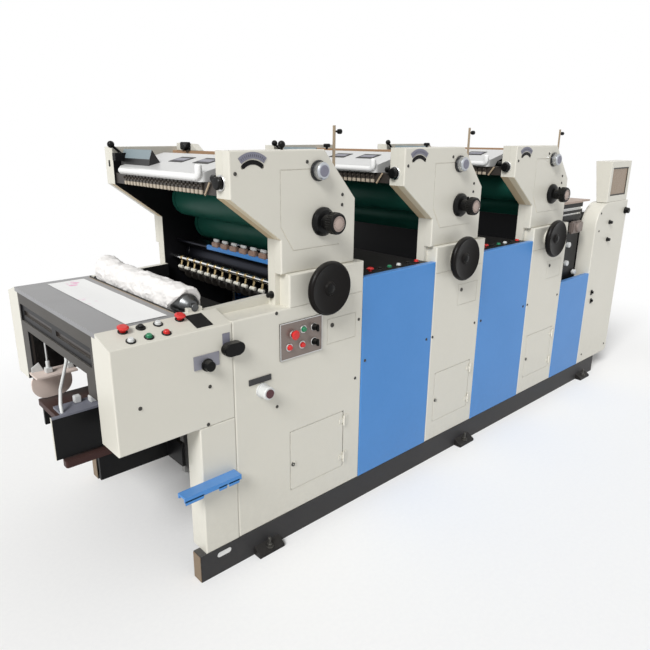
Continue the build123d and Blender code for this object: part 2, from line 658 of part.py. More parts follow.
with BuildPart() as unit_frames:
    for station in STATIONS:
        for side in (OPERATOR, DRIVE):
            slab(at(station, FRAME_OUTLINE), depth(side, FRAME_IN, FRAME_OUT))
            if station == X0:
                block((X0, X0 + FRAME_X), depth(side, FRAME_IN, FRAME_OUT), (RAIL_HEIGHT, SEAM))
        tie_low = DRUM[1] + DRUM_R + TIE_CLEAR
        block((station + DRUM[0] - DRUM_R, station + DRUM[0] - DRUM_R + TIE_WIDTH), across(FRAME_IN),
              (tie_low, tie_low + TIE_HEIGHT))
        for x, z in (IMPRESSION, BLANKET, PLATE):
            rod(station + x, z, across(HALF), JOURNAL_R + RUNNING, Mode.SUBTRACT)
        rod(station + LEVER_PIVOT[0], LEVER_PIVOT[1], depth(DRIVE, FRAME_IN, FRAME_IN + PIN_DEPTH + PIN_END),
            PIN_R + RUNNING, Mode.SUBTRACT)
save(unit_frames, "unit_frames")

with BuildPart() as upper_covers:
    for station in STATIONS:
        slab(at(station, UPPER_OUTLINE), depth(OPERATOR, FRAME_OUT, UPPER_OUT))
    soften(upper_covers, MID - UPPER_OUT, UPPER_ROUND)
    left, low = COVER_X - HATCH_LEAD, SHOULDER + HATCH_FOOT
    right, high = left + HATCH_LENGTH, TOP - HATCH_DROP
    knee = SHOULDER + HATCH_KNEE
    hatch = [(INK_KNOB[0], high), (left, high), (left, knee), (left + HATCH_RUN, low), (right, low),
             (right, low + GROOVE_WIDTH), (left + HATCH_RUN + GROOVE_WIDTH / 2, low + GROOVE_WIDTH),
             (left + GROOVE_WIDTH, knee + GROOVE_WIDTH / 2), (left + GROOVE_WIDTH, high - GROOVE_WIDTH),
             (INK_KNOB[0], high - GROOVE_WIDTH)]
    for station in STATIONS:
        engrave(at(station, hatch), UPPER_OUT)
        for x, z in (WATER_KNOB, INK_KNOB):
            rod(station + x, z, depth(OPERATOR, UPPER_OUT - PIN_DEPTH - PIN_END, UPPER_OUT), PIN_R + RUNNING,
                Mode.SUBTRACT)
    with BuildSketch(Plane.XZ.offset(UPPER_OUT - MID)):
        for arc in SCALE_ARCS:
            SlotArc(arc, SCALE_WIDTH)
    extrude(amount=-SCALE_DEPTH, mode=Mode.SUBTRACT)
save(upper_covers, "upper_covers")


def unit_left(station):
    """Front of a unit's covers, which on unit 1 reach forward to the delivery."""
    return station if station == X0 else station + COVER_X


def cover_body(side, station):
    """Solid outline of a lower cover, with unit 1's low front part."""
    y = depth(side, FRAME_OUT, HALF)
    block((unit_left(station), station + COVER_END), y, (RAIL_HEIGHT, SEAM))
    block((station + COVER_X, station + COVER_END), y, (SEAM, SHOULDER))


with BuildPart() as lower_covers:
    for station in STATIONS:
        cover_body(OPERATOR, station)
    soften(lower_covers, MID - HALF, LOWER_ROUND)
    for station, door_x in zip(STATIONS, DOOR_SPOTS):
        inside = depth(OPERATOR, FRAME_OUT, HALF - COVER_WALL)
        end = station + COVER_END - COVER_WALL
        block((unit_left(station) + COVER_WALL, end), inside, (RAIL_HEIGHT + COVER_WALL, SEAM - LOWER_ROUND),
              Mode.SUBTRACT)
        block((station + COVER_X + COVER_WALL, end), inside, (SEAM - LOWER_ROUND, SHOULDER - LOWER_ROUND),
              Mode.SUBTRACT)
        wheel_x, wheel_z = station + IMPRESSION[0], IMPRESSION[1]
        rod(wheel_x, wheel_z, depth(OPERATOR, HALF - COVER_WALL, HALF + BOSS_DEPTH), BOSS_R)
        rod(wheel_x, wheel_z, depth(OPERATOR, HALF - LOWER_ROUND, HALF + BOSS_DEPTH), SHAFT_R + DOOR_GAP,
            Mode.SUBTRACT)
        block((station + COVER_X, station + COVER_END), depth(OPERATOR, HALF - GROOVE_DEPTH, HALF),
              (SEAM - GROOVE_WIDTH, SEAM), Mode.SUBTRACT)
        panel_x, panel_z = station + COVER_X + HATCH_PANEL_LEAD, SEAM - HATCH_PANEL_DROP
        with BuildSketch(Plane.XZ.offset(HALF - MID)) as ring:
            with Locations((panel_x, panel_z)):
                Rectangle(HATCH_PANEL_WIDTH, HATCH_PANEL_HEIGHT, align=(Align.MIN, Align.MAX))
            with Locations((panel_x + GROOVE_WIDTH, panel_z - GROOVE_WIDTH)):
                Rectangle(HATCH_PANEL_WIDTH - 2 * GROOVE_WIDTH, HATCH_PANEL_HEIGHT - 2 * GROOVE_WIDTH,
                          align=(Align.MIN, Align.MAX), mode=Mode.SUBTRACT)
        extrude(ring.sketch, amount=-GROOVE_DEPTH, mode=Mode.SUBTRACT)
        left, right = door_x - DOOR_GAP, door_x + DOOR_WIDTH + DOOR_GAP
        low, high = DOOR_BOTTOM - DOOR_GAP, DOOR_TOP + DOOR_GAP
        gap = [(left, low), (right, low), (right, high), (left, high)]
        slab(gap, depth(OPERATOR, FRAME_OUT, HALF), Mode.SUBTRACT, DOOR_CORNER)
        hinge_x = door_x + DOOR_WIDTH + HINGE_SET
        for z in HINGE_SPOTS:
            low, high = z - HINGE_LENGTH / 2, z + HINGE_LENGTH / 2
            knuckle = (HINGE_LENGTH - DOOR_KNUCKLE) / 2 - KNUCKLE_GAP
            leaf_x = hinge_x + LEAF_SET
            block((leaf_x, leaf_x + LEAF_WIDTH), depth(OPERATOR, HALF, HALF + LEAF_THICK),
                  (low, high))
            for span in ((low, low + knuckle), (high - knuckle, high)):
                post(hinge_x, HINGE_Y, span, KNUCKLE_R)
                block((hinge_x, hinge_x + LEAF_SET), depth(OPERATOR, HALF, HALF + KNUCKLE_R), span)
            post(hinge_x, HINGE_Y, (low, high), HINGE_PIN_R)
save(lower_covers, "lower_covers")

with BuildPart() as drive_covers:
    for station in STATIONS:
        slab(at(station, UPPER_OUTLINE), depth(DRIVE, FRAME_OUT, UPPER_OUT))
    soften(drive_covers, MID + UPPER_OUT, UPPER_ROUND)
    for station in STATIONS:
        cover_body(DRIVE, station)
    soften(drive_covers, MID + HALF, LOWER_ROUND)
save(drive_covers, "drive_covers")

with BuildPart() as top_posts:
    slope = CHAMFER_DROP / (BACK_X - PLATE[0] - CHAMFER_LEAD)
    foot = TOP - (POST_LEAD - PLATE[0] - CHAMFER_LEAD) * slope
    for station in STATIONS:
        x = station + POST_LEAD
        slab([(x, foot), (x + POST_WIDTH, foot - POST_WIDTH * slope), (x + POST_WIDTH, TOP + POST_RISE),
              (x, TOP + POST_RISE)], depth(OPERATOR, FRAME_OUT - POST_THICK, FRAME_OUT))
save(top_posts, "top_posts")


def barrel(x, z):
    """Printing cylinder with its journals and bearer rings, turned in one piece."""
    ring = BARREL_HALF - BEARER_WIDTH
    half = [(JOURNAL_R, JOURNAL_END), (JOURNAL_R, BARREL_HALF), (CYLINDER_R, BARREL_HALF),
            (CYLINDER_R, ring),
            (CYLINDER_R - BEARER_DEPTH, ring), (CYLINDER_R - BEARER_DEPTH, ring - BEARER_GROOVE),
            (CYLINDER_R, ring - BEARER_GROOVE)]
    other_half = [(radius, -reach) for radius, reach in reversed(half)]
    turned(x, MID, z, [(0, JOURNAL_END), *half, *other_half, (0, -JOURNAL_END)])


def channel(x, z, side):
    """Clamping channel along the top or the bottom of a cylinder."""
    edge = z + side * CYLINDER_R
    block((x - CHANNEL_WIDTH / 2, x + CHANNEL_WIDTH / 2), across(BARREL_HALF - CHANNEL_INSET),
          (edge - CHANNEL_DEPTH, edge + CHANNEL_DEPTH), Mode.SUBTRACT)


for i, (station, door_x) in enumerate(zip(STATIONS, DOOR_SPOTS), start=1):
    with BuildPart() as door:
        corners = [(door_x, DOOR_BOTTOM), (door_x + DOOR_WIDTH, DOOR_BOTTOM),
                   (door_x + DOOR_WIDTH, DOOR_TOP),
                   (door_x, DOOR_TOP)]
        slab(corners, depth(OPERATOR, HALF - COVER_WALL, HALF), rounding=DOOR_CORNER)
        lock_z = (DOOR_BOTTOM + DOOR_TOP) / 2 - LOCK_DROP
        rod(door_x + LOCK_INSET, lock_z, depth(OPERATOR, HALF, HALF + LOCK_REACH),
            LOCK_R)
        hinge_x = door_x + DOOR_WIDTH + HINGE_SET
        leaf_x = hinge_x - LEAF_SET - LEAF_WIDTH
        for z in HINGE_SPOTS:
            span = (z - DOOR_KNUCKLE / 2, z + DOOR_KNUCKLE / 2)
            leaf_out = HALF + KNUCKLE_STAND + LEAF_THICK
            post(hinge_x, HINGE_Y, span, KNUCKLE_R)
            block((leaf_x, hinge_x), depth(OPERATOR, HALF + KNUCKLE_STAND, leaf_out), span)
            block((leaf_x, hinge_x - LEAF_SET), depth(OPERATOR, HALF, leaf_out), span)
            post(hinge_x, HINGE_Y, span, HINGE_PIN_R + RUNNING, Mode.SUBTRACT)
    save(door, f"unit{i}_door")

    with BuildPart() as handwheel:
        x, z = station + IMPRESSION[0], IMPRESSION[1]
        rim_r, rim_back = WHEEL_R - WHEEL_RIM / 3, WHEEL_DEPTH - WHEEL_RIM
        boss = WHEEL_DEPTH - WHEEL_DISH
        with BuildSketch(lathe_plane(x, MID - WHEEL_BACK, z)):
            with BuildLine():
                Polyline((0, 0), (WHEEL_HUB_R, 0), (WHEEL_HUB_R, WHEEL_HUB), (rim_r, rim_back))
                rim_tip = (WHEEL_R, WHEEL_DEPTH - WHEEL_RIM / 2)
                ThreePointArc((rim_r, rim_back), rim_tip, (rim_r, WHEEL_DEPTH))
                ThreePointArc((rim_r, WHEEL_DEPTH), ((rim_r + WHEEL_HUB_R) / 2, boss + WHEEL_DISH / 4),
                              (WHEEL_HUB_R, boss))
                nose = boss + WHEEL_BOSS
                Polyline((WHEEL_HUB_R, boss), (WHEEL_BOSS_R, nose), (0, nose), (0, 0))
            make_face()
        revolve(axis=Axis((x, MID - WHEEL_BACK, z), (0, 1, 0)))
    save(handwheel, f"unit{i}_handwheel")

    with BuildPart() as impression:
        barrel(x, z)
        rod(x, z, depth(OPERATOR, 0, WHEEL_BACK), SHAFT_R)
        channel(x, z, 1)
    save(impression, f"unit{i}_impression_cylinder")

    for name, (cylinder_x, cylinder_z), side in (("blanket", BLANKET, 1), ("plate", PLATE, -1)):
        with BuildPart() as cylinder:
            barrel(station + cylinder_x, cylinder_z)
            channel(station + cylinder_x, cylinder_z, side)
        save(cylinder, f"unit{i}_{name}_cylinder")

    with BuildPart() as water_knob:
        neck = WATER_FLANGE + WATER_NECK
        turned(station + WATER_KNOB[0], MID - UPPER_OUT, WATER_KNOB[1],
               [(0, -PIN_DEPTH), (PIN_R, -PIN_DEPTH), (PIN_R, PIN_END), (WATER_FLANGE_R, PIN_END),
                (WATER_FLANGE_R, WATER_FLANGE / 2), (WATER_FLANGE_R - WATER_FLANGE / 2, WATER_FLANGE),
                (WATER_NECK_R, WATER_FLANGE + GRIP_ROUND), (WATER_NECK_R, neck),
                (WATER_GRIP_R - GRIP_ROUND, neck + GRIP_ROUND), (WATER_GRIP_R, neck + 2 * GRIP_ROUND),
                (WATER_GRIP_R, WATER_REACH - GRIP_ROUND), (WATER_GRIP_R - GRIP_ROUND, WATER_REACH),
                (WATER_GRIP_R - GRIP_ROUND - FACE_RIM, WATER_REACH),
                (WATER_GRIP_R - GRIP_ROUND - FACE_RIM, WATER_REACH - FACE_RECESS),
                (0, WATER_REACH - FACE_RECESS)])
    save(water_knob, f"unit{i}_water_knob")

    with BuildPart() as ink_knob:
        turned(station + INK_KNOB[0], MID - UPPER_OUT, INK_KNOB[1],
               [(0, -PIN_DEPTH), (PIN_R, -PIN_DEPTH), (PIN_R, PIN_END), (INK_BASE_R, PIN_END),
                (INK_BASE_R, INK_BASE), (INK_GRIP_R, INK_BASE), (INK_GRIP_R, INK_REACH - GRIP_ROUND),
                (INK_GRIP_R - GRIP_ROUND, INK_REACH), (0, INK_REACH)])
    save(ink_knob, f"unit{i}_ink_knob")

    with BuildPart() as lever:
        x, z = station + LEVER_PIVOT[0], LEVER_PIVOT[1]
        hub_y, arm_y = MID + FRAME_IN - LEVER_CLEAR, MID + FRAME_IN - LEVER_ARM
        pin = -PIN_DEPTH - LEVER_CLEAR
        turned(x, hub_y, z, [(0, pin), (PIN_R, pin), (PIN_R, 0), (LEVER_HUB_R, 0), (LEVER_HUB_R, LEVER_HUB),
                             (0, LEVER_HUB)])
        with Locations(Location((x, arm_y, z), (0, 90 - LEVER_ANGLE, 0))):
            Cylinder(LEVER_R, LEVER_LENGTH, align=(Align.CENTER, Align.CENTER, Align.MIN))
        tip_x, tip_z = polar((x, z), LEVER_ANGLE, LEVER_LENGTH)
        ball(tip_x, arm_y, tip_z, BALL_R)
    save(lever, f"unit{i}_lever")

with BuildPart() as ink_rollers:
    for station in STATIONS:
        for (x, z), radius in INK_ROLLERS:
            rod(station + x, z, across(ROLLER_HALF), radius)
            rod(station + x, z, across(FRAME_IN), SPINDLE_R)
save(ink_rollers, "ink_rollers")

HOOD_X = NOSE_X - HOOD_LEAD
HOOD_HALF = FRAME_IN - HOOD_INSET
BAR_X = NOSE_X + INK_BAR_LEAD
BAR_END = BAR_X + INK_BAR_WIDTH


with BuildPart() as hood_space:
    low, end = TOP - HOOD_LOW - HOOD_WALL, HOOD_X + HOOD_LENGTH + HOOD_WALL
    slab([(HOOD_X + HOOD_WALL, low), (HOOD_X + HOOD_WALL, TOP - HOOD_FRONT - HOOD_WALL),
          (end, TOP - HOOD_BACK - HOOD_WALL), (end, low)], across(HOOD_HALF - HOOD_WALL))
    fillet(hood_space.edges().filter_by(Axis.Z).group_by(Axis.X)[0], HOOD_ROUND - HOOD_WALL)

with BuildPart() as hood:
    low, end = TOP - HOOD_LOW, HOOD_X + HOOD_LENGTH
    slab([(HOOD_X, low), (HOOD_X, TOP - HOOD_FRONT), (end, TOP - HOOD_BACK),
          (end, TOP - HOOD_BACK - HOOD_ROUND), (BAR_END + HOOD_ROUND, low + HOOD_ROUND + HOOD_WALL),
          (BAR_END, low)], across(HOOD_HALF))
    fillet(hood.edges().filter_by(Axis.Z).group_by(Axis.X)[0], HOOD_ROUND)
    add(hood_space.part, mode=Mode.SUBTRACT)
    with BuildSketch(Plane.XY.offset(TOP - HOOD_LOW)):
        for step in (-HOOD_SLOT_STEP, HOOD_SLOT_STEP):
            with Locations((NOSE_X + HOOD_SLOT_LEAD, MID + HOOD_SLOT_SHIFT + step)):
                SlotOverall(HOOD_SLOT_LENGTH, HOOD_SLOT_WIDTH)
    extrude(amount=HOOD_LOW, mode=Mode.SUBTRACT)

with BuildPart() as ink_fountains:
    for station in STATIONS:
        with Locations((station, 0, 0)):
            add(hood.part)
        block((station + BAR_X, station + BAR_END), across(FRAME_IN),
              (TOP - HOOD_LOW - INK_BAR_HEIGHT, TOP - HOOD_LOW))
save(ink_fountains, "ink_fountains")

with BuildPart() as ink_guards:
    high = TOP - GUARD_DROP
    low = high - GUARD_HEIGHT
    tail = NOSE_X - GUARD_LEAD + GUARD_LENGTH
    guard = [(NOSE_X - GUARD_LEAD, low), (NOSE_X - GUARD_LEAD, high), (tail, high),
             (tail + GUARD_TAIL, low - GUARD_TAIL / 2)]
    lug_x = NOSE_X + GUARD_LUG_LEAD
    guard_in, guard_out = HOOD_HALF + GUARD_GAP, HOOD_HALF + GUARD_GAP + GUARD_THICK
    for station in STATIONS:
        slab(at(station, guard), depth(DRIVE, guard_in, guard_out))
        block((station + lug_x, station + lug_x + GUARD_LUG_WIDTH), depth(DRIVE, guard_out, FRAME_IN),
              (high - GUARD_LUG_HEIGHT, high))
save(ink_guards, "ink_guards")

# Panels between the units

with BuildPart() as blue_panels:
    for i, station in enumerate(STATIONS):
        last = i == UNITS - 1
        x = (station + COVER_END, FEEDER_X if last else station + PITCH + COVER_X)
        top = LOW_PANEL_TOP if last else PANEL_TOP
        for side in (OPERATOR, DRIVE):
            block(x, depth(side, PANEL_IN, HALF), (RAIL_HEIGHT, top))
    for side in (OPERATOR, DRIVE):
        soften(blue_panels, MID + side * HALF, PANEL_ROUND)
    for i, station in enumerate(STATIONS):
        last = i == UNITS - 1
        x = (station + COVER_END, FEEDER_X if last else station + PITCH + COVER_X)
        top = LOW_PANEL_TOP if last else PANEL_TOP
        for side in (OPERATOR, DRIVE):
            block((x[0] + PANEL_WALL, x[1] - PANEL_WALL), depth(side, PANEL_IN, HALF - PANEL_WALL),
                  (RAIL_HEIGHT + PANEL_WALL, top - PANEL_WALL), Mode.SUBTRACT)
save(blue_panels, "blue_panels")

with BuildPart() as gap_trays:
    tray = (PANEL_TOP - STRIP_HEIGHT, PANEL_TOP - TRAY_DROP)
    for station in STATIONS[:-1]:
        front_x = station + PITCH + FRAME_X
        for side in (OPERATOR, DRIVE):
            block((station + COVER_END, front_x), depth(side, FRAME_IN + STRIP_INSET, PANEL_IN),
                  (PANEL_TOP - STRIP_HEIGHT, PANEL_TOP))
        block((station + BACK_X, front_x), across(FRAME_IN + STRIP_INSET), tray)
        guard_x = front_x + THROAT_GUARD
        block((front_x, guard_x), across(FRAME_IN), tray)
        high = SHOULDER + THROAT_GUARD_TOP
        slab([(guard_x, tray[0]), (guard_x + SHEET, tray[0]), (guard_x + SHEET + THROAT_GUARD_LEAN, high),
              (guard_x + THROAT_GUARD_LEAN, high)], across(FRAME_IN))
save(gap_trays, "gap_trays")

# Delivery

with BuildPart() as delivery_boxes:
    section = [(BOX_IN, BOX_BOTTOM), (HALF, BOX_BOTTOM), (HALF, TABLE_TOP - DESK_DROP),
               (TABLE_HALF, TABLE_TOP), (TABLE_HALF, TABLE_LOW), (BOX_IN, TABLE_LOW)]
    for side in (OPERATOR, DRIVE):
        bar([(MID + side * y, z) for y, z in section], (BOX_X, X0))
    for side in (OPERATOR, DRIVE):
        soften(delivery_boxes, MID + side * HALF, BOX_ROUND)
save(delivery_boxes, "delivery_boxes")

with BuildPart() as delivery_posts:
    for side in (OPERATOR, DRIVE):
        block((X0 - DELIVERY_POST, X0), depth(side, HALF - POST_DEPTH, HALF), (RAIL_HEIGHT, BOX_BOTTOM))
    for side in (OPERATOR, DRIVE):
        soften(delivery_posts, MID + side * HALF, BOX_ROUND)
save(delivery_posts, "delivery_posts")

with BuildPart() as delivery_table:
    block((BOX_X, X0 - TABLE_SHORT), across(TABLE_HALF), (TABLE_LOW, TABLE_TOP))
save(delivery_table, "delivery_table")

with BuildPart() as front_panel:
    low = TABLE_LOW - FRONT_HEIGHT
    recess = (low + FRONT_LIP, TABLE_LOW - FRONT_BAND)
    slot_z = (recess[0] + recess[1]) / 2
    block((BOX_X, BOX_X + FRONT_THICK), across(BOX_IN), (low, TABLE_LOW))
    block((BOX_X, BOX_X + FRONT_RECESS), across(BOX_IN - FRONT_INSET), recess, Mode.SUBTRACT)
    for side, length in ((OPERATOR, LEG_SHORT), (DRIVE, LEG_LENGTH)):
        block((BOX_X, BOX_X + FRONT_THICK), depth(side, BOX_IN - LEG_WIDTH, BOX_IN), (low - length, low))
        block((BOX_X, BOX_X + FRONT_SLOT_DEPTH), depth(side, FRONT_SLOT_MIDDLE, BOX_IN - FRONT_SLOT_INSET),
              (slot_z - FRONT_SLOT_HEIGHT / 2, slot_z + FRONT_SLOT_HEIGHT / 2), Mode.SUBTRACT)
save(front_panel, "front_panel")

with BuildPart() as delivery_cheeks:
    cheek_low = TABLE_TOP - CHEEK_HEIGHT
    for side in (OPERATOR, DRIVE):
        cheek = [(0, cheek_low), (FRAME_X, cheek_low), (FRAME_X, TABLE_TOP + CHEEK_RISE), (0, TABLE_TOP)]
        slab(at(X0, cheek), depth(side, BOX_IN, FRAME_IN))
        block((X0 - CHEEK_LEAD, X0), depth(side, BOX_IN, TABLE_HALF), (TABLE_LOW, TABLE_TOP))
        saddle_x = (ROLL[0] - SADDLE_WIDTH / 2, ROLL[0] + SADDLE_WIDTH / 2)
        block(saddle_x, depth(side, BOX_IN, BOX_IN + SADDLE_DEPTH), (TABLE_TOP, ROLL[1]))
    rod(*ROLL, across(FRAME_IN), ROLL_PIN_R + RUNNING, Mode.SUBTRACT)
save(delivery_cheeks, "delivery_cheeks")

with BuildPart() as delivery_roller:
    rod(*ROLL, across(FRAME_IN - ROLL_INSET), ROLL_R)
    rod(*ROLL, across(FRAME_IN - ROLL_PIN_INSET), ROLL_PIN_R)
save(delivery_roller, "delivery_roller")

with BuildPart() as delivery_floor:
    floor_top, wall_top = TABLE_TOP - WELL_DEPTH, TABLE_TOP - CHEEK_HEIGHT
    wall_x = (X0 + WELL_END, X0 + WELL_END + WELL_WALL)
    block((X0 - TABLE_SHORT, X0 + WELL_END), across(BOX_IN), (floor_top - WELL_WALL, floor_top))
    block(wall_x, across(FRAME_IN), (RAIL_HEIGHT, wall_top))
    block(wall_x, across(BOX_IN), (wall_top, floor_top))
save(delivery_floor, "delivery_floor")

with BuildPart() as delivery_wheels:
    rod(X0 + STAR[0], STAR[1], across(FRAME_IN), STAR_SHAFT_R)
    for n in range(STAR_COUNT):
        y = MID + (n - (STAR_COUNT - 1) / 2) * STAR_STEP
        rod(X0 + STAR[0], STAR[1], (y - STAR_WIDTH / 2, y + STAR_WIDTH / 2), STAR_R)
    rod(X0 + CHROME[0], CHROME[1], across(FRAME_IN), CHROME_R)
save(delivery_wheels, "delivery_wheels")

# Sheet pile in the delivery

with BuildPart() as pile_board:
    block((BOX_X, X0 + BOARD_TAIL), across(BOARD_HALF), (BOARD_LOW, BOARD_TOP))
    block((X_FRONT + RUNNER_SHORT, BOX_X), depth(OPERATOR, BOARD_HALF - BOARD_RUNNER, BOARD_HALF),
          (BOARD_LOW, BOARD_TOP))
    fillet(pile_board.edges().filter_by(Axis.Z), BOARD_CORNER)
save(pile_board, "pile_board")

with BuildPart() as pile_carriage:
    cross_end = X0 - DELIVERY_POST - CARRIAGE_CLEAR
    plate_z = (BOARD_LOW - CARRIAGE_HEIGHT, BOARD_LOW)
    shoe_z = (BOARD_TOP - SHOE_BELOW, BOARD_TOP + SHOE_ABOVE)
    block((cross_end - CARRIAGE_PLATE, cross_end), across(BOARD_HALF + CARRIAGE_REACH), plate_z)
    for side in (OPERATOR, DRIVE):
        edge = BOARD_HALF - CARRIAGE_INSET
        block((BOX_X + CARRIAGE_LEAD, cross_end), depth(side, edge - CARRIAGE_PLATE, edge), plate_z)
        block((cross_end, GUIDE_X - GUIDE_FIT),
              depth(side, GUIDE_OUT - CARRIAGE_BAR / 2, GUIDE_OUT + CARRIAGE_BAR / 2),
              (BOARD_LOW - CARRIAGE_BAR_HEIGHT, BOARD_LOW))
        block((GUIDE_X - SHOE_LEAD, GUIDE_X + SHOE_GRIP),
              depth(side, GUIDE_OUT - SHOE_WIDTH / 2, GUIDE_OUT + SHOE_WIDTH / 2), shoe_z)
        groove = GUIDE_WIDTH / 2 + GUIDE_FIT
        block((GUIDE_X - GUIDE_FIT, GUIDE_X + GUIDE_DEPTH),
              depth(side, GUIDE_OUT - groove, GUIDE_OUT + groove), shoe_z, Mode.SUBTRACT)
save(pile_carriage, "pile_carriage")

with BuildPart() as pile_guides:
    for side in (OPERATOR, DRIVE):
        y = depth(side, GUIDE_OUT - GUIDE_WIDTH / 2, GUIDE_OUT + GUIDE_WIDTH / 2)
        block((GUIDE_X, GUIDE_X + GUIDE_DEPTH), y, (GUIDE_LOW, SEAM - GUIDE_HIGH))
save(pile_guides, "pile_guides")

NEAR_TOP, FAR_TOP = JOGGER_LOW + JOGGER_HEIGHT, JOGGER_LOW + FAR_JOGGER_HEIGHT
SHAFT_Z = TABLE_TOP - SHAFT_DROP
with BuildPart() as jogger_shafts:
    for x in (BOX_X + SHAFT_LEAD, BOX_X + SHAFT_LEAD + SHAFT_STEP):
        rod(x, SHAFT_Z, across(BOX_IN), JOGGER_SHAFT_R)
        post(x, MID - JOGGER_OUT + HANGER_INSET, (NEAR_TOP, SHAFT_Z), HANGER_R)
        post(x, MID + JOGGER_OUT - HANGER_INSET, (FAR_TOP, SHAFT_Z), HANGER_R)
save(jogger_shafts, "jogger_shafts")

with BuildPart() as joggers:
    face = JOGGER_OUT + JOGGER_THICK / 2
    near_end = X_FRONT + JOGGER_LENGTH
    block((X_FRONT, near_end), depth(OPERATOR, face - JOGGER_THICK, face), (JOGGER_LOW, NEAR_TOP))
    block((X_FRONT + FLANGE_LEAD, near_end), depth(OPERATOR, face - FLANGE_WIDTH, face),
          (NEAR_TOP - FLANGE_THICK, NEAR_TOP))
    far_x = (BOX_X - FAR_JOGGER_LEAD, BOX_X - FAR_JOGGER_LEAD + FAR_JOGGER_LENGTH)
    with BuildSketch(Plane.XZ.offset(-MID - face)) as outline:
        Polygon((far_x[0], FAR_TOP), (far_x[0], JOGGER_LOW), (far_x[1], JOGGER_LOW), (far_x[1], FAR_TOP),
                align=None)
        fillet(outline.vertices().group_by(Axis.Z)[0], FAR_JOGGER_ROUND)
    extrude(amount=JOGGER_THICK)
    block(far_x, depth(DRIVE, face - FLANGE_WIDTH, face), (FAR_TOP - FLANGE_THICK, FAR_TOP))
save(joggers, "joggers")

with BuildPart() as foot_step:
    high = BOX_BOTTOM - STEP_DROP
    low, out = high - STEP_HEIGHT, HALF + STEP_REACH
    under = high - STEP_WALL
    section = [(HALF, high), (out, high), (out, low), (out - STEP_WALL, low), (out - STEP_WALL, under),
               (HALF + STEP_WALL, under), (HALF + STEP_WALL, low), (HALF, low)]
    bar([(MID - y, z) for y, z in section], (X0 - STEP_INSET - STEP_LENGTH, X0 - STEP_INSET))
save(foot_step, "foot_step")

# Controls


def front(x, z, out=HALF):
    """Plane on an operator-side cover, facing out."""
    return Plane(origin=(x, MID - out, z), x_dir=(1, 0, 0), z_dir=(0, -1, 0))


def desk(x, out):
    """Plane on the sloping top of the operator-side delivery box."""
    rise = (HALF - out) / (HALF - TABLE_HALF) * DESK_DROP
    return Plane(origin=(BOX_X + x, MID - out, TABLE_TOP - DESK_DROP + rise), x_dir=(1, 0, 0),
                 z_dir=(0, -DESK_DROP, HALF - TABLE_HALF))


def strip(gap, spot):
    """Plane on top of a button strip, counted from the unit behind it."""
    start, stop = COVER_END + STRIP_START, PITCH + FRAME_X - STRIP_STOP
    x = STATIONS[gap] + start + (stop - start) * spot / (STRIP_BUTTONS - 1)
    return Plane(origin=(x, MID - (FRAME_IN + STRIP_INSET + PANEL_IN) / 2, PANEL_TOP))


def stack(plane, steps):
    """Coaxial discs and cones built up from a plane, each a (low radius, high radius, height)."""
    low = 0.0
    for low_r, high_r, height in steps:
        with Locations(plane.offset(low)):
            if low_r == high_r:
                Cylinder(low_r, height, align=(Align.CENTER, Align.CENTER, Align.MIN))
            else:
                Cone(low_r, high_r, height, align=(Align.CENTER, Align.CENTER, Align.MIN))
        low += height


PANEL_X, PANEL_Z = X0 + COVER_X - PANEL_PLATE_LEAD, SEAM - PANEL_PLATE_DROP - PANEL_PLATE_HEIGHT
DIAL_X, DIAL_Z = X0 - DIAL_PLATE_LEAD, TABLE_TOP - DIAL_PLATE_DROP - DIAL_PLATE_HEIGHT
WHITE_X, WHITE_Z = X0 + WHITE_KNOB_LEAD, SEAM - WHITE_KNOB_DROP
DESK_OUTER, DESK_INNER = HALF - DESK_ROW_OUT, HALF - DESK_ROW_IN
GAPS = range(UNITS - 1)


def panel(x, z):
    """Plane on the control plate of unit 1, from its lower left corner."""
    return front(PANEL_X + x, PANEL_Z + z, HALF + PLATE_THICK)


with BuildPart() as control_plates:
    plate = depth(OPERATOR, HALF, HALF + PLATE_THICK)
    slot_z = SEAM - SLOT_PLATE_DROP
    block((PANEL_X, PANEL_X + PANEL_PLATE_WIDTH), plate, (PANEL_Z, PANEL_Z + PANEL_PLATE_HEIGHT))
    block((DIAL_X, DIAL_X + DIAL_PLATE_WIDTH), plate, (DIAL_Z, DIAL_Z + DIAL_PLATE_HEIGHT))
    block((X0 + SLOT_PLATE_LEAD, X0 + SLOT_PLATE_LEAD + SLOT_PLATE_WIDTH), plate,
          (slot_z - SLOT_PLATE_HEIGHT, slot_z))
save(control_plates, "control_plates")

with BuildPart() as red_buttons:
    for plane in (desk(DESK_FIRST, DESK_INNER), desk(DESK_LAST, DESK_INNER), panel(*PANEL_MUSHROOM)):
        stack(plane, MUSHROOM)
    stack(desk(DESK_FIRST + 2 * DESK_STEP, DESK_OUTER), PUSH)
    for spot in PANEL_REDS:
        stack(panel(*spot), PUSH)
    stack(front(WHITE_X, WHITE_Z, HALF + WHITE_KNOB_REACH), WHITE_KNOB_FACE)
    for gap in GAPS:
        stack(strip(gap, STRIP_MUSHROOM), SMALL_MUSHROOM)
        stack(strip(gap, STRIP_RED), PUSH)
save(red_buttons, "red_buttons")

with BuildPart() as green_buttons:
    for plane in (desk(DESK_FIRST + DESK_STEP, DESK_OUTER), panel(*PANEL_GREEN)):
        stack(plane, PUSH)
    for gap in GAPS:
        stack(strip(gap, STRIP_GREEN), PUSH)
save(green_buttons, "green_buttons")

with BuildPart() as white_buttons:
    for plane in (desk(DESK_FIRST, DESK_OUTER), desk(DESK_FIRST + 2 * DESK_STEP, DESK_INNER)):
        stack(plane, PUSH)
    stack(front(WHITE_X, WHITE_Z), WHITE_KNOB)
    for gap in GAPS:
        stack(strip(gap, STRIP_WHITE), PUSH)
save(white_buttons, "white_buttons")

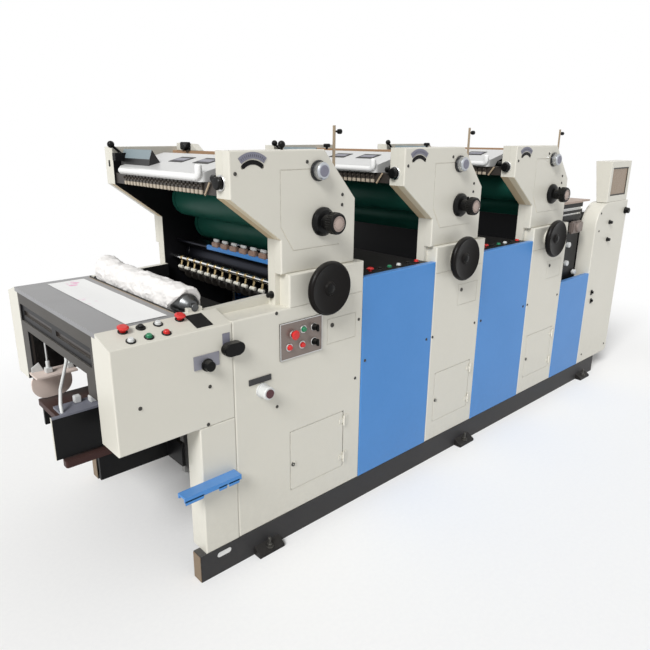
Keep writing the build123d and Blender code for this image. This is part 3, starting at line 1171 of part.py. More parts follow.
with BuildPart() as black_knobs:
    stack(desk(DESK_FIRST + DESK_STEP, DESK_INNER), PUSH)
    for spot in PANEL_SELECTORS:
        stack(panel(*spot), SELECTOR)
    stack(front(DIAL_X + DIAL_PLATE_WIDTH / 2, DIAL_Z + DIAL_RISE, HALF + PLATE_THICK), DIAL)
    stack(front(X0 + OVAL_KNOB_LEAD, SEAM - OVAL_KNOB_DROP), DIAL)
    stack(front(FEEDER_END - FEEDER_DIAL_INSET, FEEDER_TOP - FEEDER_DIAL_DROP), DIAL)
    for drop in (FEEDER_SWITCH_DROP, FEEDER_SWITCH_DROP + FEEDER_SWITCH_STEP):
        stack(front(FEEDER_X + FEEDER_SWITCH_LEAD, FEEDER_TOP - drop), SELECTOR)
    for gap in GAPS:
        for spot in STRIP_BLACKS:
            stack(strip(gap, spot), PUSH)
    for station in STATIONS:
        rod(station + NOSE_X + NOSE_KNOB_LEAD, TOP - NOSE_KNOB_DROP,
            depth(OPERATOR, FRAME_IN - NOSE_KNOB_REACH, FRAME_IN), NOSE_KNOB_R)
    corner = (X0 + FRAME_X, MID - (FRAME_IN + FRAME_OUT) / 2, TABLE_TOP + CORNER_KNOB_RISE)
    stack(Plane(origin=corner, z_dir=(-1, 0, 0)), SELECTOR)
    post(X0 + COVER_X, MID - (FRAME_OUT + UPPER_OUT) / 2, (TOP, TOP + TOP_BALL_R), TOP_STEM_R)
    ball(X0 + COVER_X, MID - (FRAME_OUT + UPPER_OUT) / 2, TOP + TOP_BALL_R + TOP_STEM_R, TOP_BALL_R)
save(black_knobs, "black_knobs")

# Feeder

with BuildPart() as feeder_covers:
    for side in (OPERATOR, DRIVE):
        y = depth(side, FRAME_IN, HALF)
        with BuildSketch(Plane.XZ.offset(-y[1])) as outline:
            Polygon((FEEDER_X, RAIL_HEIGHT), (FEEDER_END, RAIL_HEIGHT), (FEEDER_END, FEEDER_TOP),
                    (FEEDER_X, FEEDER_TOP), align=None)
            fillet(outline.vertices().group_by(Axis.Z)[-1].sort_by(Axis.X)[0], FEEDER_ROUND)
            fillet(outline.vertices().group_by(Axis.Z)[-1].sort_by(Axis.X)[-1], FEEDER_CORNER)
        extrude(amount=y[1] - y[0])
    for side in (OPERATOR, DRIVE):
        soften(feeder_covers, MID + side * HALF, UPPER_ROUND)
save(feeder_covers, "feeder_covers")

with BuildPart() as screen_box:
    back, high = HALF - SCREEN_SET, FEEDER_TOP + SCREEN_HEIGHT
    screen_x = FEEDER_END - SCREEN_INSET - SCREEN_WIDTH
    section = [(back, FEEDER_TOP), (back, high), (back - SCREEN_TOP_DEPTH, high),
               (back - SCREEN_LOW_DEPTH, FEEDER_TOP)]
    bar([(MID - y, z) for y, z in section], (screen_x, screen_x + SCREEN_WIDTH))
    soften(screen_box, MID - back, SCREEN_ROUND)
    block((screen_x + SCREEN_BORDER, screen_x + SCREEN_WIDTH - SCREEN_BORDER),
          depth(OPERATOR, back - SCREEN_RECESS, back), (FEEDER_TOP + SCREEN_SILL, high - SCREEN_SILL),
          Mode.SUBTRACT)
save(screen_box, "screen_box")

with BuildPart() as feeder_head:
    column_x = FEEDER_X - COLUMN_LEAD
    head_x, head_low = FEEDER_X - HEAD_LEAD, SHOULDER - HEAD_LOW
    head_top = head_low + HEAD_HEIGHT
    for side in (OPERATOR, DRIVE):
        block((column_x, column_x + COLUMN_WIDTH), depth(side, COLUMN_OUT - COLUMN_DEPTH, COLUMN_OUT),
              (RAIL_HEIGHT, head_low))
    block((head_x, head_x + HEAD_LENGTH), across(COLUMN_OUT), (head_low, head_top))
    for side in (OPERATOR, DRIVE):
        for level in (1, 2):
            z = head_low + HEAD_HEIGHT * level / 3
            block((head_x, head_x + HEAD_LENGTH), depth(side, COLUMN_OUT - HEAD_GROOVE, COLUMN_OUT),
                  (z - HEAD_GROOVE / 2, z + HEAD_GROOVE / 2), Mode.SUBTRACT)
    block((head_x, head_x + HEAD_PLATE_LENGTH), across(COLUMN_OUT), (head_top, head_top + HEAD_PLATE))
    rod(column_x + COLUMN_WIDTH / 2, SHOULDER - HEAD_SHAFT_DROP, across(FRAME_OUT), HEAD_SHAFT_R)
    bar_low = SHOULDER - SUCTION_DROP
    block((FEEDER_X + SUCTION_LEAD, FEEDER_X + SUCTION_LEAD + SUCTION_WIDTH), across(FRAME_IN),
          (bar_low, bar_low + SUCTION_HEIGHT))
    for n in range(SUCTION_FEET):
        y = MID + (n - (SUCTION_FEET - 1) / 2) * SUCTION_STEP
        foot_x = FEEDER_X + SUCTION_LEAD + SUCTION_WIDTH / 2
        post(foot_x, y, (bar_low - SUCTION_FOOT, bar_low), SUCTION_FOOT_R)
save(feeder_head, "feeder_head")

with BuildPart() as feeder_boards:
    unit_x, feed_x = STATIONS[-1] + BACK_X, FEEDER_X + FEED_BAR_LEAD + FEED_BAR
    low, high = SEAM - FEED_TABLE_DROP, SEAM - FEED_TABLE_DROP + FEED_TABLE_RISE
    table = [(unit_x, low), (feed_x, high), (feed_x, high + FEED_TABLE_THICK),
             (unit_x, low + FEED_TABLE_THICK)]
    slab(table, across(FRAME_IN - FEED_TABLE_INSET))
    block((feed_x - FEED_BAR, feed_x), across(FRAME_IN), (high - FEED_BAR, high))
    block((feed_x, FEEDER_END - FEED_BAR_LEAD), across(FRAME_IN),
          (RAIL_HEIGHT + PILE_BOARD_RISE, RAIL_HEIGHT + PILE_BOARD_RISE + PILE_BOARD_THICK))
save(feeder_boards, "feeder_boards")
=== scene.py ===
"""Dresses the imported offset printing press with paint, rollers, controls, paper and small fittings.

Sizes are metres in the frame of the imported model. X runs from the delivery to the feeder, the
operator side faces -Y, and Z is up from the floor.
"""

from __future__ import annotations

import json
import logging
import math
from dataclasses import dataclass, field
from enum import Enum
from functools import reduce
from operator import mul
from typing import Any, Iterable, Mapping, Sequence, Union

import bmesh
import bpy
from mathutils import Matrix, Vector, noise

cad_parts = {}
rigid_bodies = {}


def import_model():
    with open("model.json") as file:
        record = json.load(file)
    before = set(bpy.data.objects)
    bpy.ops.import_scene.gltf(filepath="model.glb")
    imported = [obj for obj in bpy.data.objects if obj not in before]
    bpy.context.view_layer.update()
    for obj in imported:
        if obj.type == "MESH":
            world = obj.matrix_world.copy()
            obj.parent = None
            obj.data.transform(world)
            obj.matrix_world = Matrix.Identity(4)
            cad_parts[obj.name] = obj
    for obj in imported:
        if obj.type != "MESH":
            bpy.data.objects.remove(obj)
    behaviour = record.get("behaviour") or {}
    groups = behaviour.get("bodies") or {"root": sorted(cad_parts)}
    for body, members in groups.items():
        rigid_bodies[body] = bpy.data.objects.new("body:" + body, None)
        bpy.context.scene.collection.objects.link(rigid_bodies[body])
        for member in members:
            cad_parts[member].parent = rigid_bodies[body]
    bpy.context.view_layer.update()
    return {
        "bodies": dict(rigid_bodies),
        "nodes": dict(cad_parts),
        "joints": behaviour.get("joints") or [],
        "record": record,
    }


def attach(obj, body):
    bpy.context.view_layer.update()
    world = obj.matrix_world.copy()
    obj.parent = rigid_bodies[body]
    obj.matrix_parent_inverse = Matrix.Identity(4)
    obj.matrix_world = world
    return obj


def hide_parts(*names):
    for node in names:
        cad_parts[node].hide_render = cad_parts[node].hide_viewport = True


LOG = logging.getLogger("press")
Socket = bpy.types.NodeSocket
Piece = bpy.types.Object
Material = bpy.types.Material
Colour = tuple[float, float, float]
Point = tuple[float, float, float]
Pair = tuple[float, float]
Profile = tuple[Pair, ...]
Box = tuple[Point, Point]

ORIGIN: Point = (0.0, 0.0, 0.0)
UP: Point = (0.0, 0.0, 1.0)
NEAR: Point = (0.0, -1.0, 0.0)
FAR: Point = (0.0, 1.0, 0.0)
AHEAD: Point = (-1.0, 0.0, 0.0)
BACK: Point = (1.0, 0.0, 0.0)


class Axis(Enum):
    """The three directions of the frame."""

    X = 0
    Y = 1
    Z = 2


class Reading(Enum):
    """What a zone of a finish goes by."""

    PLACE = "Object"
    NORMAL = "Normal"


@dataclass(frozen=True)
class Layout:
    """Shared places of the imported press."""

    stations: tuple[float, ...] = (-1.426, -0.49, 0.446)
    mid: float = 0.018
    half: float = 0.53
    upper: float = 0.51
    frame_in: float = 0.425
    seam: float = 1.05
    top: float = 1.6503
    front: float = -2.024
    box_front: float = -1.894
    table: float = 1.078
    feeder: float = 1.546

    @property
    def units(self) -> range:
        """Numbers of the units."""
        return range(1, len(self.stations) + 1)

    def start(self, unit: int) -> float:
        """X where a unit starts."""
        return self.stations[unit - 1]

    def face(self, out: float, side: int = -1) -> float:
        """Y of a face at a distance from the mid-plane, on the operator side unless told."""
        return self.mid + side * out


PRESS = Layout()


class Signal:
    """One value in a node tree. Arithmetic on it adds Math nodes."""

    def __init__(self, desk: NodeDesk, socket: Socket) -> None:
        """Keeps the output socket that holds the value, and the builder of its tree."""
        self.desk = desk
        self.socket = socket

    def _join(self, operation: str, first: Value, second: Value) -> Signal:
        """Adds one Math node and takes its result."""
        made = self.desk.node("ShaderNodeMath", {"operation": operation}, {0: first, 1: second})
        return Signal(self.desk, made.outputs[0])

    def __add__(self, other: Value) -> Signal:
        """Sum."""
        return self._join("ADD", self, other)

    def __radd__(self, other: Value) -> Signal:
        """Sum, reflected."""
        return self._join("ADD", other, self)

    def __sub__(self, other: Value) -> Signal:
        """Difference."""
        return self._join("SUBTRACT", self, other)

    def __rsub__(self, other: Value) -> Signal:
        """Difference, reflected."""
        return self._join("SUBTRACT", other, self)

    def __mul__(self, other: Value) -> Signal:
        """Product."""
        return self._join("MULTIPLY", self, other)

    def __rmul__(self, other: Value) -> Signal:
        """Product, reflected."""
        return self._join("MULTIPLY", other, self)

    def __truediv__(self, other: Value) -> Signal:
        """Quotient."""
        return self._join("DIVIDE", self, other)

    def __rtruediv__(self, other: Value) -> Signal:
        """Quotient, reflected."""
        return self._join("DIVIDE", other, self)

    def __gt__(self, other: Value) -> Signal:
        """One where greater, else nought."""
        return self._join("GREATER_THAN", self, other)

    def __lt__(self, other: Value) -> Signal:
        """One where less, else nought."""
        return self._join("LESS_THAN", self, other)

    def turned(self, operation: str) -> Signal:
        """Passes the value through a one-sided operation such as COSINE."""
        return self._join(operation, self, 0.0)

    def clamped(self) -> Signal:
        """Keeps the value between nought and one."""
        return self._join("MINIMUM", self._join("MAXIMUM", self, 0.0), 1.0)


Value = Union[Signal, float]
Shade = Union[Socket, Colour]


class NodeDesk:
    """Builds one node tree."""

    def __init__(self, tree: bpy.types.NodeTree) -> None:
        """Takes the tree that the nodes go into."""
        self.tree = tree

    def node(self, kind: str, settings: Mapping[str, Any] | None = None,
             inputs: Mapping[Any, Any] | None = None) -> bpy.types.Node:
        """Adds one node.

        Args:
            kind: Type of the node.
            settings: Properties of the node, set first.
            inputs: Values or links, by socket index, identifier or name.

        Returns:
            The node.
        """
        made = self.tree.nodes.new(kind)
        for name, setting in (settings or {}).items():
            setattr(made, name, setting)
        for name, value in (inputs or {}).items():
            socket = made.inputs[name] if isinstance(name, int) else self.socket(made.inputs, name)
            if isinstance(value, Signal):
                self.tree.links.new(value.socket, socket)
            elif isinstance(value, Socket):
                self.tree.links.new(value, socket)
            else:
                socket.default_value = value
        return made

    @staticmethod
    def socket(sockets: Iterable[Socket], name: str) -> Socket:
        """Finds a socket by its identifier, or else by its name.

        Args:
            sockets: Sockets of one side of a node.
            name: Identifier or name.

        Returns:
            The first socket that fits.
        """
        found = list(sockets)
        exact = [s for s in found if s.identifier == name]
        return (exact or [s for s in found if s.name == name])[0]

    def signal(self, kind: str, settings: Mapping[str, Any] | None = None,
               inputs: Mapping[Any, Any] | None = None, output: Any = 0) -> Signal:
        """Adds a node and takes one of its outputs as a value."""
        return Signal(self, self.node(kind, settings, inputs).outputs[output])


class ShaderDesk(NodeDesk):
    """Builds the node tree of one material."""

    def __init__(self, name: str) -> None:
        """Starts a material.

        Args:
            name: Name of the material.
        """
        self.material = bpy.data.materials.new(name)
        self.material.use_nodes = True
        super().__init__(self.material.node_tree)
        self.tree.nodes.clear()
        self.coords = self.node("ShaderNodeTexCoord")

    def along(self, axis: Axis, reading: Reading = Reading.PLACE) -> Signal:
        """One coordinate of the place or of the face normal, in the piece's own space."""
        return self.signal("ShaderNodeSeparateXYZ", None, {0: self.coords.outputs[reading.value]},
                           axis.value)

    def stretched(self, scale: Point) -> Socket:
        """The place, scaled along each axis."""
        place = self.coords.outputs[Reading.PLACE.value]
        return self.node("ShaderNodeMapping", None, {"Vector": place, "Scale": scale}).outputs[0]

    def noise(self, scale: Point | float, detail: float = 2.0, rough: float = 0.5) -> Signal:
        """Adds a noise.

        Args:
            scale: Scale per metre, one for each axis where three are given.
            detail: Number of finer layers.
            rough: Strength of the finer layers.

        Returns:
            The noise, about nought to one.
        """
        sizes = scale if isinstance(scale, tuple) else (scale, scale, scale)
        return self.signal("ShaderNodeTexNoise", None,
                           {"Vector": self.stretched(sizes), "Scale": 1.0, "Detail": detail,
                            "Roughness": rough})

    def mix(self, factor: Value, first: Shade, second: Shade) -> Socket:
        """Mixes two colours.

        Args:
            factor: Share of the second colour.
            first: First colour, as a socket or a tuple.
            second: Second colour, as a socket or a tuple.

        Returns:
            The mixed colour.
        """
        shades = [c if isinstance(c, Socket) else (*c, 1.0) for c in (first, second)]
        made = self.node("ShaderNodeMix", {"data_type": "RGBA"},
                         {"Factor_Float": factor, "A_Color": shades[0], "B_Color": shades[1]})
        return self.socket(made.outputs, "Result_Color")

    def rounded(self, radius: float) -> Socket:
        """Normal with its sharp edges rounded."""
        return self.node("ShaderNodeBevel", {"samples": 4}, {"Radius": radius}).outputs[0]

    def edges(self, rounded: Socket) -> Signal:
        """Tells how near a point is to a sharp edge.

        Args:
            rounded: Normal with its edges rounded.

        Returns:
            Nought on a flat, up to about a third at an edge.
        """
        flat = self.node("ShaderNodeNewGeometry").outputs["Normal"]
        return 1.0 - self.signal("ShaderNodeVectorMath", {"operation": "DOT_PRODUCT"},
                                 {0: rounded, 1: flat}, 1)

    def bump(self, height: Signal, distance: float, normal: Socket) -> Socket:
        """Lays relief on a normal.

        Args:
            height: Height of the relief, nought to one.
            distance: Depth of the relief.
            normal: Normal that the relief is laid on.

        Returns:
            The new normal.
        """
        return self.node("ShaderNodeBump", None,
                         {"Strength": 1.0, "Distance": distance, "Height": height,
                          "Normal": normal}).outputs[0]

    def surface(self, inputs: Mapping[str, Any]) -> Material:
        """Ends the tree in a Principled surface.

        Args:
            inputs: Values or links of the surface's sockets.

        Returns:
            The finished material.
        """
        made = self.node("ShaderNodeBsdfPrincipled", None, inputs)
        self.node("ShaderNodeOutputMaterial", None, {"Surface": made.outputs[0]})
        return self.material


@dataclass(frozen=True)
class Limit:
    """Range of one coordinate of a place or of a face normal."""

    axis: Axis
    low: float = -math.inf
    high: float = math.inf
    reading: Reading = Reading.PLACE

    def tests(self, desk: ShaderDesk) -> list[Signal]:
        """Compares the coordinate with each end that the range has.

        Args:
            desk: Builder of the material.

        Returns:
            One value for each end, one where the coordinate is inside it.
        """
        spot = desk.along(self.axis, self.reading)
        made = [spot > self.low] if self.low > -math.inf else []
        return made + ([spot < self.high] if self.high < math.inf else [])


@dataclass(frozen=True)
class Zone:
    """Part of a finish that differs, inside all of its limits."""

    colour: Colour
    limits: tuple[Limit, ...]
    roughness: float = 0.45
    metallic: float = 0.0
    broken: float = 0.0

    def mask(self, desk: ShaderDesk) -> Signal:
        """Marks the zone.

        Args:
            desk: Builder of the material.

        Returns:
            One inside the zone and nought outside, broken into patches where the zone is faint.
        """
        made = reduce(mul, [test for limit in self.limits for test in limit.tests(desk)])
        if self.broken:
            patches, contrast = desk.noise(34.0, 3.0), 4.0
            made = made * ((patches - self.broken) * contrast).clamped()
        return made


CLOUD_SCALE = 3.2
FLECK_SCALE = 46.0
PEEL_SCALE = 420.0
CLOUD_SHARE, FLECK_SHARE = 0.7, 0.3
PATCH_FLOOR, PATCH_GAIN, PATCH_WEIGHT = 0.35, 2.2, 2.0
GRAIN_FLOOR = 0.42
ROUGH_SPREAD = 0.1
DUST_GAIN, DUST_ROUGH = 1.6, 0.35
GRIME_HEIGHT = 0.55
GRIME_GAIN, GRIME_ROUGH = 1.3, 0.2
EDGE_GAIN = 9.0
CHIP_FLOOR, CHIP_GAIN = 0.47, 7.0
DUST_TONE = (0.42, 0.4, 0.36)
GRIME_TONE = (0.1, 0.09, 0.08)


def deepened(colour: Colour) -> Colour:
    """A deeper, slightly stronger tone of a colour, for clouds and grain."""
    grey, depth, strength = sum(colour) / 3, 0.62, 1.12
    return tuple(depth * max(0.0, grey + (c - grey) * strength) for c in colour)


@dataclass(frozen=True)
class Finish:
    """A coat with cloudy tone, settled dust, grime near the floor and worn edges."""

    name: str
    colour: Colour
    roughness: float = 0.42
    metallic: float = 0.0
    specular: float = 0.5
    coat: float = 0.0
    shade: float = 0.1
    dust: float = 0.1
    grime: float = 0.18
    worn: Colour = (0.3, 0.29, 0.27)
    wear: float = 0.4
    rounding: float = 0.0014
    relief: float = 0.00006
    zones: tuple[Zone, ...] = ()

    def grain(self, desk: ShaderDesk) -> Signal:
        """Fine relief of the surface, about nought to one: the orange peel of sprayed paint."""
        return desk.noise(PEEL_SCALE, 2.0)

    def material(self) -> Material:
        """Builds the material.

        Returns:
            The material, ready for any piece.
        """
        desk = ShaderDesk(self.name)
        cloud, fleck = desk.noise(CLOUD_SCALE, 4.0, 0.6), desk.noise(FLECK_SCALE, 3.0, 0.65)
        grain = self.grain(desk)
        colour: Shade = self.colour
        deeper: Shade = deepened(self.colour)
        rough: Value = self.roughness
        metal: Value = self.metallic
        for zone in self.zones:
            inside = zone.mask(desk)
            colour = desk.mix(inside, colour, zone.colour)
            deeper = desk.mix(inside, deeper, deepened(zone.colour))
            rough = rough + inside * (zone.roughness - rough)
            if isinstance(metal, Signal) or zone.metallic != metal:
                metal = metal + inside * (zone.metallic - metal)
        mottle = cloud * CLOUD_SHARE + fleck * FLECK_SHARE
        broad = ((mottle - PATCH_FLOOR) * PATCH_GAIN).clamped() * PATCH_WEIGHT
        patches = broad + (grain - GRAIN_FLOOR).clamped()
        colour = desk.mix((patches * self.shade).clamped(), colour, deeper)
        rough = rough + (grain - 0.5) * ROUGH_SPREAD + (cloud - 0.5) * ROUGH_SPREAD
        if self.dust:
            up = (desk.along(Axis.Z, Reading.NORMAL) - 0.5).clamped() * 2.0
            dust = (up * (fleck * 0.8 + cloud * 0.6) * (self.dust * DUST_GAIN)).clamped()
            colour = desk.mix(dust, colour, DUST_TONE)
            rough = rough + dust * DUST_ROUGH
        if self.grime:
            low = (1.0 - desk.along(Axis.Z) / GRIME_HEIGHT).clamped()
            grime = (low * low * fleck * (self.grime * GRIME_GAIN)).clamped()
            colour = desk.mix(grime, colour, GRIME_TONE)
            rough = rough + grime * GRIME_ROUGH
        rounded = desk.rounded(self.rounding)
        if self.wear:
            edge = (desk.edges(rounded) * EDGE_GAIN).clamped()
            chips = ((fleck - CHIP_FLOOR) * CHIP_GAIN).clamped()
            colour = desk.mix(edge * chips * self.wear, colour, self.worn)
        return desk.surface({"Base Color": colour, "Roughness": rough, "Metallic": metal,
                             "Specular IOR Level": self.specular, "Coat Weight": self.coat,
                             "Normal": desk.bump(grain, self.relief, rounded)})


@dataclass(frozen=True)
class Brushed(Finish):
    """Ground or drawn metal, streaked along one axis."""

    metallic: float = 1.0
    roughness: float = 0.3
    relief: float = 0.00002
    lay: Axis = Axis.Y

    def grain(self, desk: ShaderDesk) -> Signal:
        """Long fine scratches along the lay.

        Args:
            desk: Builder of the material.

        Returns:
            The scratches, about nought to one.
        """
        across, along = 900.0, 9.0
        sizes = tuple(along if axis is self.lay else across for axis in Axis)
        return desk.noise(sizes, 3.0, 0.6)


@dataclass(frozen=True)
class Rubber(Finish):
    """Roller covering with faint bands round the roller."""

    roughness: float = 0.48
    relief: float = 0.00004
    wear: float = 0.0
    bands: Point = (14.0, 60.0, 14.0)
    speckle: float = 800.0

    def grain(self, desk: ShaderDesk) -> Signal:
        """Speckle crossed with shallow bands round the roller."""
        return desk.noise(self.bands, 3.0, 0.6) * 0.6 + desk.noise(self.speckle, 1.0) * 0.4


@dataclass(frozen=True)
class Moulding(Finish):
    """Moulded plastic with a fine stipple and polished edges."""

    roughness: float = 0.34
    relief: float = 0.00003
    dust: float = 0.06
    wear: float = 0.15
    stipple: float = 1500.0

    def grain(self, desk: ShaderDesk) -> Signal:
        """Fine even stipple."""
        return desk.noise(self.stipple, 1.0)


@dataclass(frozen=True)
class Timber(Finish):
    """Painted board, its grain showing through along X."""

    relief: float = 0.00025
    figure: Point = (5.0, 90.0, 160.0)

    def grain(self, desk: ShaderDesk) -> Signal:
        """Long grain, stretched along X."""
        return desk.noise(self.figure, 5.0, 0.62)


@dataclass(frozen=True)
class Paper(Finish):
    """White stock with fibre mottle and soft creases."""

    roughness: float = 0.78
    specular: float = 0.3
    relief: float = 0.0003
    dust: float = 0.0
    grime: float = 0.0
    wear: float = 0.0
    crease: float = 14.0
    fibre: float = 500.0

    def grain(self, desk: ShaderDesk) -> Signal:
        """Creases where cells meet, over fine fibres.

        Args:
            desk: Builder of the material.

        Returns:
            The height of the paper, about nought to one.
        """
        place = desk.stretched((self.crease, self.crease * 0.6, self.crease))
        cells = desk.signal("ShaderNodeTexVoronoi", {"feature": "DISTANCE_TO_EDGE"},
                            {"Vector": place, "Scale": 1.0})
        return (cells * 2.2).clamped() * 0.8 + desk.noise(self.fibre, 2.0) * 0.2


CREAM_TONE = (0.655, 0.635, 0.56)
BLACK_TONE = (0.006, 0.006, 0.0065)
STEEL_TONE = (0.62, 0.62, 0.61)
TAN_TONE = (0.36, 0.28, 0.19)


@dataclass(frozen=True)
class Seams:
    """Places where one colour of a finish meets the next."""

    cheek_in: float = 0.3935
    frame_wall: float = 0.424
    frame_near: float = -0.42
    frame_far: float = 0.456
    frame_top: float = PRESS.top - 0.045
    box_near: float = -0.42
    box_far: float = 0.46
    panel_groove: float = PRESS.box_front + 0.003
    panel_bed: float = PRESS.box_front + 0.0085
    panel_back: float = PRESS.box_front + 0.018
    jogger_top: float = 0.7563
    jogger_front: float = PRESS.front + 0.0015
    hood_low: float = PRESS.top - 0.1138
    key_low: float = PRESS.top - 0.144
    wedge_low: float = PRESS.top - 0.047
    wheel_rim: float = 1.095
    plate_end: float = -1.42
    low_panel: float = 0.8
    knob_back: float = -0.5008
    head_bars: tuple[Pair, ...] = ((1.203, 1.216), (1.236, 1.252))
    head_top: float = 1.279
    head_back: float = 1.6
    print_x: Pair = (-1.712, -1.655)
    print_y: Pair = (0.285, 0.372)
    faint_x: Pair = (-1.771, -1.72)
    faint_y: Pair = (-0.1, 0.08)


SEAMS = Seams()
SIDEWAYS = Limit(Axis.Y, -0.5, 0.5, Reading.NORMAL)
NEARWARD = Limit(Axis.Y, high=-0.5, reading=Reading.NORMAL)
FARWARD = Limit(Axis.Y, 0.5, reading=Reading.NORMAL)
UNDERSIDE = Limit(Axis.Z, high=-0.3, reading=Reading.NORMAL)


def within(out: float) -> Limit:
    """Places nearer to the mid-plane than a distance."""
    return Limit(Axis.Y, PRESS.mid - out, PRESS.mid + out)


def black(*limits: Limit, roughness: float = 0.45) -> Zone:
    """A zone painted black."""
    return Zone(BLACK_TONE, limits, roughness)


def cream(*limits: Limit) -> Zone:
    """A zone painted cream."""
    return Zone(CREAM_TONE, limits, 0.4)


def bright(limit: Limit, roughness: float = 0.28) -> Zone:
    """A zone of bare steel."""
    return Zone(STEEL_TONE, (limit,), roughness, 1.0)


def enamel(name: str, *zones: Zone) -> Finish:
    """Cream enamel of the covers, with any zones of another colour."""
    return Finish(name, CREAM_TONE, 0.38, coat=0.1, shade=0.05, zones=zones)


